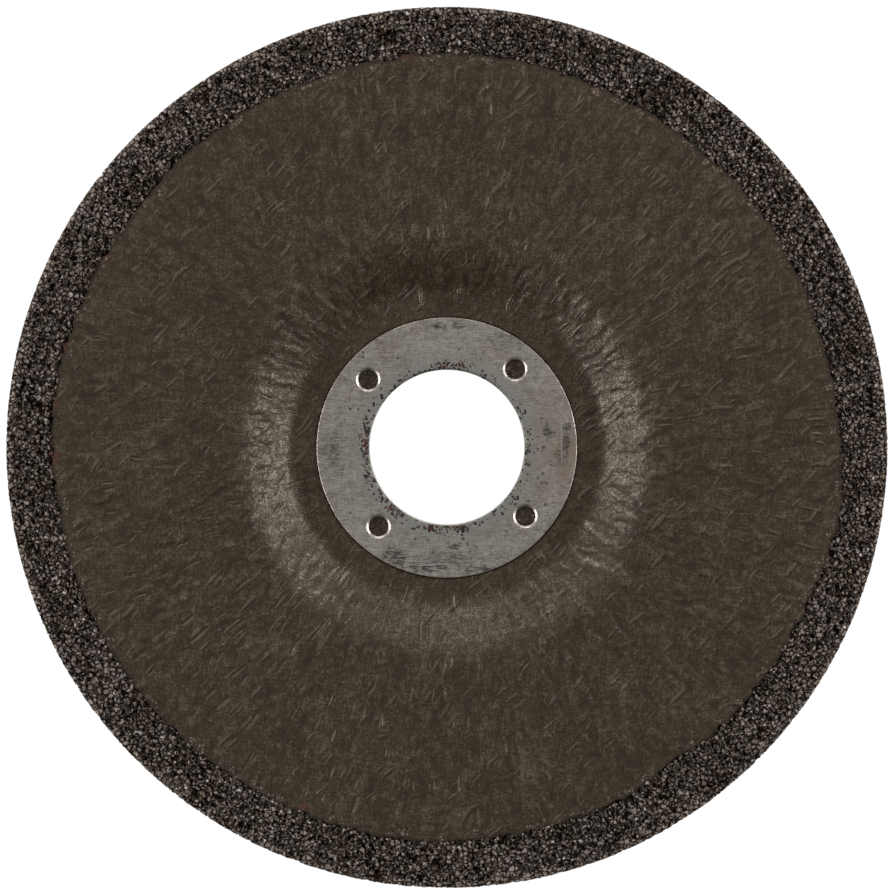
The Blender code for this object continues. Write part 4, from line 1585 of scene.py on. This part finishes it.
def build_ring(settings):
    """The stamped steel ring: flange, collar and four punched holes with rounded lips."""
    outside = BORE_RADIUS + STEEL_THICKNESS
    underside = FLANGE_TOP - STEEL_THICKNESS
    section = [
        (outside, COLLAR_END + 0.3, 0),
        (outside, underside, 0.3),
        (FLANGE_RADIUS, underside, 0.12),
        (FLANGE_RADIUS, FLANGE_TOP, 0.16),
        (BORE_RADIUS, FLANGE_TOP, 0.42),
        (BORE_RADIUS, COLLAR_END, 0.12),
        (outside, COLLAR_END, 0.12),
        (outside, COLLAR_END + 0.3, 0),
    ]

    def spacing(radius, height):
        near_bend = height > FLANGE_TOP - 0.6 and radius < BORE_RADIUS + 0.6
        near_edge = radius > FLANGE_RADIUS - 0.22 or height < COLLAR_END + 0.2
        return 0.045 if near_edge else 0.07 if near_bend else 0.7

    line, _ = spaced_line(rounded_line(section), spacing)
    skin = Skin()
    azimuths = even_azimuths(settings.ring_columns)
    rings = [skin.ring(ring_points(radius, height, azimuths)) for radius, height in line[:-1]]
    for i in range(len(rings)):
        skin.span(rings[i], rings[(i + 1) % len(rings)], strip_place(i, i + 1, len(rings), 2))
    mesh = skin.mesh("steel_ring")
    # The holes are cut after this, and a cut face has no place on the map.
    mesh.uv_layers.remove(mesh.uv_layers["OFBake"])
    ring = new_piece("steel_ring", mesh, steel_material(settings), "hub_ring")
    punches = build_punches(settings)
    cut = ring.modifiers.new("grip holes", "BOOLEAN")
    cut.operation = "DIFFERENCE"
    cut.solver = "EXACT"
    cut.object = punches
    bpy.context.view_layer.update()
    shaped = ring.evaluated_get(bpy.context.evaluated_depsgraph_get())
    finished = bpy.data.meshes.new_from_object(shaped)
    ring.modifiers.clear()
    ring.data = finished
    finished.name = "steel_ring"
    finished.shade_smooth()
    finished.set_sharp_from_angle(angle=np.radians(40.0))
    bpy.data.objects.remove(punches, do_unlink=True)


def build_punches(settings):
    """The tools that cut the holes, flared so that each hole has a rounded lip."""
    radius, lip = settings.hole_diameter / MM / 2, settings.lip_width / MM
    line = [(radius, FLANGE_TOP - STEEL_THICKNESS - 0.5)]
    for step in range(9):
        share = step / 8
        line.append((radius + lip * share, FLANGE_TOP - 0.68 * lip * (1 - share) ** 1.4))
    line.append((line[-1][0] + 0.5, FLANGE_TOP + 0.004))
    line.append((line[-1][0], FLANGE_TOP + 0.5))
    bm = bmesh.new()
    columns = 64
    turns = even_azimuths(columns)
    for hole in range(HOLE_COUNT):
        azimuth = FIRST_HOLE_AZIMUTH + hole * TURN / HOLE_COUNT
        middle = np.array([HOLE_CIRCLE_RADIUS * np.cos(azimuth), HOLE_CIRCLE_RADIUS * np.sin(azimuth), 0.0])
        rings = []
        for r, z in line:
            rings.append([bm.verts.new(Vector(p) * MM) for p in ring_points(r, z, turns) + middle])
        for first, second in zip(rings, rings[1:]):
            for i in range(columns):
                j = (i + 1) % columns
                bm.faces.new((first[i], first[j], second[j], second[i]))
        bm.faces.new(rings[0])
        bm.faces.new(rings[-1])
    bmesh.ops.recalc_face_normals(bm, faces=bm.faces)
    mesh = bpy.data.meshes.new("hole_punches")
    bm.to_mesh(mesh)
    bm.free()
    punches = bpy.data.objects.new("hole_punches", mesh)
    bpy.context.scene.collection.objects.link(punches)
    punches.hide_render = True
    return punches


def floor_material(settings):
    """Pale floor that shows as white round the disc and keeps the soft shadow beneath it."""
    material = bpy.data.materials.new("studio_floor")
    material.use_nodes = True
    tree = material.node_tree
    tree.nodes.clear()
    path = tree.nodes.new("ShaderNodeLightPath")
    seen = maths(tree, "MAXIMUM", path.outputs["Is Camera Ray"], path.outputs["Is Glossy Ray"])
    seen = maths(tree, "MAXIMUM", seen, path.outputs["Is Transmission Ray"])
    matt = node(tree, "ShaderNodeBsdfDiffuse", {"Color": (*settings.floor_colour, 1.0)})
    glow = node(tree, "ShaderNodeEmission", {"Color": (1.0, 1.0, 1.0, 1.0), "Strength": 1.08})
    spot = tree.nodes.new("ShaderNodeTexCoord").outputs["Object"]
    reach = length_of(tree, spot)
    beyond_bore = spread(tree, reach, *INNER_FADE, smooth=True)
    within_rim = spread(tree, reach, *OUTER_FADE, 1.0, 0.0, smooth=True)
    below = maths(tree, "MULTIPLY", beyond_bore, within_rim)
    whiteness = spread(tree, below, 0.0, 1.0, settings.floor_whiteness, settings.whiteness_below)
    share = maths(tree, "MULTIPLY", seen, whiteness)
    mixed = node(tree, "ShaderNodeMixShader", {0: share, 1: matt.outputs[0], 2: glow.outputs[0]})
    output = tree.nodes.new("ShaderNodeOutputMaterial")
    tree.links.new(mixed.outputs[0], output.inputs["Surface"])
    return material


def build_world(settings):
    """A studio that is dim overhead and in front, and white towards the rest of the horizon."""
    world = bpy.data.worlds.new("studio")
    world.use_nodes = True
    tree = world.node_tree
    coordinates = tree.nodes.new("ShaderNodeTexCoord")
    course = node(tree, "ShaderNodeSeparateXYZ", {0: coordinates.outputs["Generated"]})
    strength = spread(
        tree, course.outputs[2], 0.02, 0.15, settings.horizon_light, settings.overhead_light, smooth=True
    )
    strength = maths(tree, "MULTIPLY", strength, spread(tree, course.outputs[1], -0.8, 0.1, 0.35, 1.0))
    tree.links.new(strength, tree.nodes["Background"].inputs["Strength"])
    tree.nodes["Background"].inputs["Color"].default_value = (1.0, 1.0, 1.0, 1.0)
    bpy.context.scene.world = world


def add_lamp(name, radiance, azimuth, elevation, distance, width, height):
    """A soft box that looks at the disc's centre. Its power follows from its brightness and area."""
    light = bpy.data.lights.new(name, "AREA")
    light.shape = "RECTANGLE"
    light.size, light.size_y = width, height
    light.energy = radiance * np.pi * width * height
    lamp = bpy.data.objects.new(name, light)
    bpy.context.scene.collection.objects.link(lamp)
    a, e = np.radians(azimuth), np.radians(elevation)
    course = Vector((np.cos(a) * np.cos(e), np.sin(a) * np.cos(e), np.sin(e)))
    lamp.location = course * distance
    lamp.rotation_mode = "QUATERNION"
    lamp.rotation_quaternion = course.to_track_quat("Z", "Y")


def build_camera(settings):
    """A long lens nearly straight above, a little to the back and right, as in the photograph."""
    data = bpy.data.cameras.new("camera")
    data.sensor_width = 36.0
    data.lens = settings.lens
    data.clip_start, data.clip_end = 0.05, 20.0
    camera = bpy.data.objects.new("camera", data)
    bpy.context.scene.collection.objects.link(camera)
    target = Vector((settings.aim_right, settings.aim_up, FACE_HEIGHT * MM))
    camera.location = target + Vector((settings.lean_right, settings.lean_up, settings.camera_distance))
    back = (camera.location - target).normalized()
    right = Vector((0.0, 1.0, 0.0)).cross(back).normalized()
    up = back.cross(right)
    camera.rotation_mode = "QUATERNION"
    camera.rotation_quaternion = Matrix((right, up, back)).transposed().to_quaternion()
    bpy.context.scene.camera = camera


def build_studio(settings):
    """Floor, backdrop light, three soft boxes and the camera."""
    bm = bmesh.new()
    bmesh.ops.create_circle(bm, cap_ends=True, segments=96, radius=6.0)
    mesh = bpy.data.meshes.new("floor")
    bm.to_mesh(mesh)
    bm.free()
    floor = bpy.data.objects.new("floor", mesh)
    # A hair below the wheel's back, so that the two don't share a plane
    floor.location.z = -0.0001
    bpy.context.scene.collection.objects.link(floor)
    mesh.materials.append(floor_material(settings))
    build_world(settings)
    for name, (*placing, share) in SOFT_BOXES.items():
        add_lamp(name, settings.lamp_light * share, *placing)
    build_camera(settings)
    bpy.context.scene.view_settings.view_transform = "Standard"


class GritSettings(bpy.types.PropertyGroup):
    """Sizes and colours of the abrasive."""

    grain_size: FloatProperty(
        name="Grain size",
        description="Distance from grain to grain, in millimetres",
        default=0.60,
        min=0.3,
        max=3.0,
    )
    pit_depth: FloatProperty(
        name="Pit depth",
        description="How deep the gaps between grains go, in millimetres",
        default=0.62,
        min=0.05,
        max=1.0,
    )
    rim_columns: IntProperty(
        name="Columns round the rim",
        description="How many rows of points run across the rim",
        default=2048,
        min=96,
        max=4416,
    )
    grain_dark: FloatVectorProperty(
        name="Dark grain",
        description="Colour of the darkest grains",
        subtype="COLOR",
        default=(0.355, 0.270, 0.202),
        min=0,
        max=1,
    )
    grain_light: FloatVectorProperty(
        name="Pale grain",
        description="Colour of the palest grains",
        subtype="COLOR",
        default=(0.460, 0.390, 0.334),
        min=0,
        max=1,
    )
    grain_violet: FloatVectorProperty(
        name="Violet grain",
        description="Colour of the cooler patches",
        subtype="COLOR",
        default=(0.405, 0.333, 0.300),
        min=0,
        max=1,
    )
    # Partly the crystal's own colour, partly a painted glint
    facet_and_glint_grey: FloatVectorProperty(
        name="Bright facets",
        description="Colour of the crystal facets that glint",
        subtype="COLOR",
        default=(0.85, 0.80, 0.75),
        min=0,
        max=1,
    )
    resin_brown: FloatVectorProperty(
        name="Bare resin",
        description="Colour where resin covers the grain",
        subtype="COLOR",
        default=(0.100, 0.066, 0.038),
        min=0,
        max=1,
    )
    # The black of the painted shade in the pits and in the cracks between grains
    pit_black: FloatVectorProperty(
        name="Pits",
        description="Colour down in the pits",
        subtype="COLOR",
        default=(0.0085, 0.0030, 0.0006),
        min=0,
        max=1,
    )
    rust_red: FloatVectorProperty(
        name="Rust",
        description="Colour of rusty spots",
        subtype="COLOR",
        default=(0.105, 0.026, 0.013),
        min=0,
        max=1,
    )


class CoverSettings(bpy.types.PropertyGroup):
    """Sizes and colours of the cover sheet."""

    sheet_columns: IntProperty(
        name="Columns round the sheet",
        description="How many rows of points run out from the bore",
        default=864,
        min=96,
        max=1920,
    )
    fold_count: IntProperty(
        name="Folds", description="How many small folds the sheet has", default=2600, min=0, max=10000
    )
    fold_seed: IntProperty(
        name="Arrangement", description="Picks another arrangement of folds", default=7, min=0
    )
    fold_height: FloatProperty(
        name="Fold height",
        description="Height of a common fold",
        default=0.00008,
        min=0.0,
        max=0.001,
        precision=6,
        unit="LENGTH",
    )
    cover_roughness: FloatProperty(
        name="Roughness",
        description="How matt the sheet is",
        default=0.35,
        min=0.0,
        max=1.0,
        subtype="FACTOR",
    )
    # The sheet's darkest tone: dark fibre and the dark grains at the worn edge, and also the painted shade in
    # creases, wrinkle lines and cracks
    cover_dark_and_shade: FloatVectorProperty(
        name="Creases",
        description="Down in the creases",
        subtype="COLOR",
        default=(0.0120, 0.0060, 0.0012),
        min=0,
        max=1,
    )
    cover_middle: FloatVectorProperty(
        name="Fibre",
        description="Common tone of the sheet",
        subtype="COLOR",
        default=(0.0470, 0.0298, 0.0126),
        min=0,
        max=1,
    )
    grain_through: FloatVectorProperty(
        name="Grain",
        description="Grain that shows through the worn edge",
        subtype="COLOR",
        default=(0.230, 0.172, 0.130),
        min=0,
        max=1,
    )
    # The sheet's palest tone: pale and rubbed fibre, and also painted sheen on the shoulders and painted
    # highlights on the strokes
    cover_pale_and_highlight: FloatVectorProperty(
        name="Rubbed fibre",
        description="Where the sheet was rubbed or stretched",
        subtype="COLOR",
        default=(0.124, 0.099, 0.072),
        min=0,
        max=1,
    )
    rust_red: FloatVectorProperty(
        name="Rust",
        description="Colour of rusty spots",
        subtype="COLOR",
        default=(0.105, 0.026, 0.013),
        min=0,
        max=1,
    )


class RingSettings(bpy.types.PropertyGroup):
    """Sizes and colours of the steel ring."""

    ring_columns: IntProperty(
        name="Columns round the ring",
        description="How many rows of points run round the ring",
        default=256,
        min=48,
        max=1024,
    )
    hole_diameter: FloatProperty(
        name="Hole",
        description="Diameter of a punched hole",
        default=0.00284,
        min=0.001,
        max=0.004,
        precision=5,
        unit="LENGTH",
    )
    lip_width: FloatProperty(
        name="Lip",
        description="How far a hole's lip reaches out",
        default=0.00036,
        min=0.0001,
        max=0.0006,
        precision=5,
        unit="LENGTH",
    )
    steel_roughness: FloatProperty(
        name="Roughness",
        description="How matt the steel is",
        default=0.38,
        min=0.0,
        max=1.0,
        subtype="FACTOR",
    )
    steel_dark: FloatVectorProperty(
        name="Dull steel",
        description="Darker tone of the steel",
        subtype="COLOR",
        default=(0.35, 0.305, 0.255),
        min=0,
        max=1,
    )
    steel_light: FloatVectorProperty(
        name="Bright steel",
        description="Brighter tone of the steel",
        subtype="COLOR",
        default=(1.0, 0.925, 0.830),
        min=0,
        max=1,
    )
    smudge_dark: FloatVectorProperty(
        name="Smudges",
        description="Colour of the dark smudges",
        subtype="COLOR",
        default=(0.12, 0.11, 0.10),
        min=0,
        max=1,
    )
    steel_cool: FloatVectorProperty(
        name="Cool steel",
        description="Steel beside the bore",
        subtype="COLOR",
        default=(0.56, 0.575, 0.53),
        min=0,
        max=1,
    )
    stain_brown: FloatVectorProperty(
        name="Brown stain",
        description="Faint stains on the steel",
        subtype="COLOR",
        default=(0.52, 0.36, 0.26),
        min=0,
        max=1,
    )
    scratch_pale: FloatVectorProperty(
        name="Scratches",
        description="Bare bottom of the scratches",
        subtype="COLOR",
        default=(0.95, 0.93, 0.90),
        min=0,
        max=1,
    )
    pit_black: FloatVectorProperty(
        name="Pits",
        description="Colour of the pits by the bore",
        subtype="COLOR",
        default=(0.012, 0.009, 0.008),
        min=0,
        max=1,
    )
    rust_red: FloatVectorProperty(
        name="Rust",
        description="Colour of rusty specks",
        subtype="COLOR",
        default=(0.10, 0.020, 0.010),
        min=0,
        max=1,
    )


class StudioSettings(bpy.types.PropertyGroup):
    """Floor, light and camera."""

    lamp_light: FloatProperty(
        name="Lamps", description="Brightness of the side soft boxes", default=6.1, min=0.0, max=30.0
    )
    horizon_light: FloatProperty(
        name="Horizon",
        description="Brightness of the studio towards the horizon",
        default=1.0,
        min=0.0,
        max=2.0,
    )
    overhead_light: FloatProperty(
        name="Overhead", description="Brightness of the studio overhead", default=0.26, min=0.0, max=2.0
    )
    floor_whiteness: FloatProperty(
        name="Floor whiteness",
        description="How white the floor shows round the disc",
        default=0.92,
        min=0.0,
        max=1.0,
        subtype="FACTOR",
    )
    whiteness_below: FloatProperty(
        name="Whiteness below",
        description="How white the floor shows beneath the disc",
        default=0.45,
        min=0.0,
        max=1.0,
        subtype="FACTOR",
    )
    floor_colour: FloatVectorProperty(
        name="Floor",
        description="Colour of the floor",
        subtype="COLOR",
        default=(0.82, 0.82, 0.81),
        min=0,
        max=1,
    )
    lens: FloatProperty(
        name="Lens", description="Focal length in millimetres", default=170.0, min=20.0, max=500.0
    )
    camera_distance: FloatProperty(
        name="Camera height",
        description="From the working face to the camera",
        default=0.5991,
        min=0.1,
        max=5.0,
        unit="LENGTH",
    )
    lean_right: FloatProperty(
        name="Lean right",
        description="How far the camera stands to the right",
        default=0.0030,
        min=-0.2,
        max=0.2,
        unit="LENGTH",
    )
    lean_up: FloatProperty(
        name="Lean up",
        description="How far the camera stands to the back",
        default=0.0125,
        min=-0.2,
        max=0.2,
        unit="LENGTH",
    )
    aim_right: FloatProperty(
        name="Aim right",
        description="Where the middle of the picture lies",
        default=0.00005,
        min=-0.1,
        max=0.1,
        precision=5,
        unit="LENGTH",
    )
    aim_up: FloatProperty(
        name="Aim up",
        description="Where the middle of the picture lies",
        default=0.00006,
        min=-0.1,
        max=0.1,
        precision=5,
        unit="LENGTH",
    )


class DISC_OT_build_grit(bpy.types.Operator):
    """Build the open grain of the rim and the pressed grain of the back"""

    bl_idname = "grinding_disc.build_grit"
    bl_label = "Build Grain"

    def execute(self, context):
        settings = context.scene.grinding_disc_grit
        build_face_grit(settings)
        build_side_grit(settings)
        build_back_grit(settings)
        return {"FINISHED"}


class DISC_OT_build_cover(bpy.types.Operator):
    """Build the wrinkled cover sheet"""

    bl_idname = "grinding_disc.build_cover"
    bl_label = "Build Cover Sheet"

    def execute(self, context):
        build_cover(context.scene.grinding_disc_cover)
        return {"FINISHED"}


class DISC_OT_build_ring(bpy.types.Operator):
    """Build the stamped steel ring with its punched holes"""

    bl_idname = "grinding_disc.build_ring"
    bl_label = "Build Hub Ring"

    def execute(self, context):
        build_ring(context.scene.grinding_disc_ring)
        return {"FINISHED"}


class DISC_OT_build_studio(bpy.types.Operator):
    """Set up the floor, the soft boxes and the camera"""

    bl_idname = "grinding_disc.build_studio"
    bl_label = "Build Studio"

    def execute(self, context):
        build_studio(context.scene.grinding_disc_studio)
        return {"FINISHED"}


class DISC_PT_sidebar(bpy.types.Panel):
    """Lists the disc's builders and their settings"""

    bl_idname = "DISC_PT_sidebar"
    bl_label = "Grinding Disc"
    bl_space_type = "VIEW_3D"
    bl_region_type = "UI"
    bl_category = "Grinding Disc"

    def draw(self, context):
        for operator, group in PANEL_ROWS:
            box = self.layout.box()
            box.operator(operator)
            settings = getattr(context.scene, group)
            for name in type(settings).__annotations__:
                box.prop(settings, name)


PANEL_ROWS = (
    ("grinding_disc.build_grit", "grinding_disc_grit"),
    ("grinding_disc.build_cover", "grinding_disc_cover"),
    ("grinding_disc.build_ring", "grinding_disc_ring"),
    ("grinding_disc.build_studio", "grinding_disc_studio"),
)

SETTING_GROUPS = {
    "grinding_disc_grit": GritSettings,
    "grinding_disc_cover": CoverSettings,
    "grinding_disc_ring": RingSettings,
    "grinding_disc_studio": StudioSettings,
}

CLASSES = (
    *SETTING_GROUPS.values(),
    DISC_OT_build_grit,
    DISC_OT_build_cover,
    DISC_OT_build_ring,
    DISC_OT_build_studio,
    DISC_PT_sidebar,
)


def register():
    for cls in CLASSES:
        bpy.utils.register_class(cls)
    for name, group in SETTING_GROUPS.items():
        setattr(bpy.types.Scene, name, PointerProperty(type=group))


def unregister():
    for name in SETTING_GROUPS:
        delattr(bpy.types.Scene, name)
    for cls in reversed(CLASSES):
        bpy.utils.unregister_class(cls)


def main():
    register()
    bpy.ops.grinding_disc.build_grit()
    bpy.ops.grinding_disc.build_cover()
    bpy.ops.grinding_disc.build_ring()
    bpy.ops.grinding_disc.build_studio()


if __name__ == "__main__":
    main()
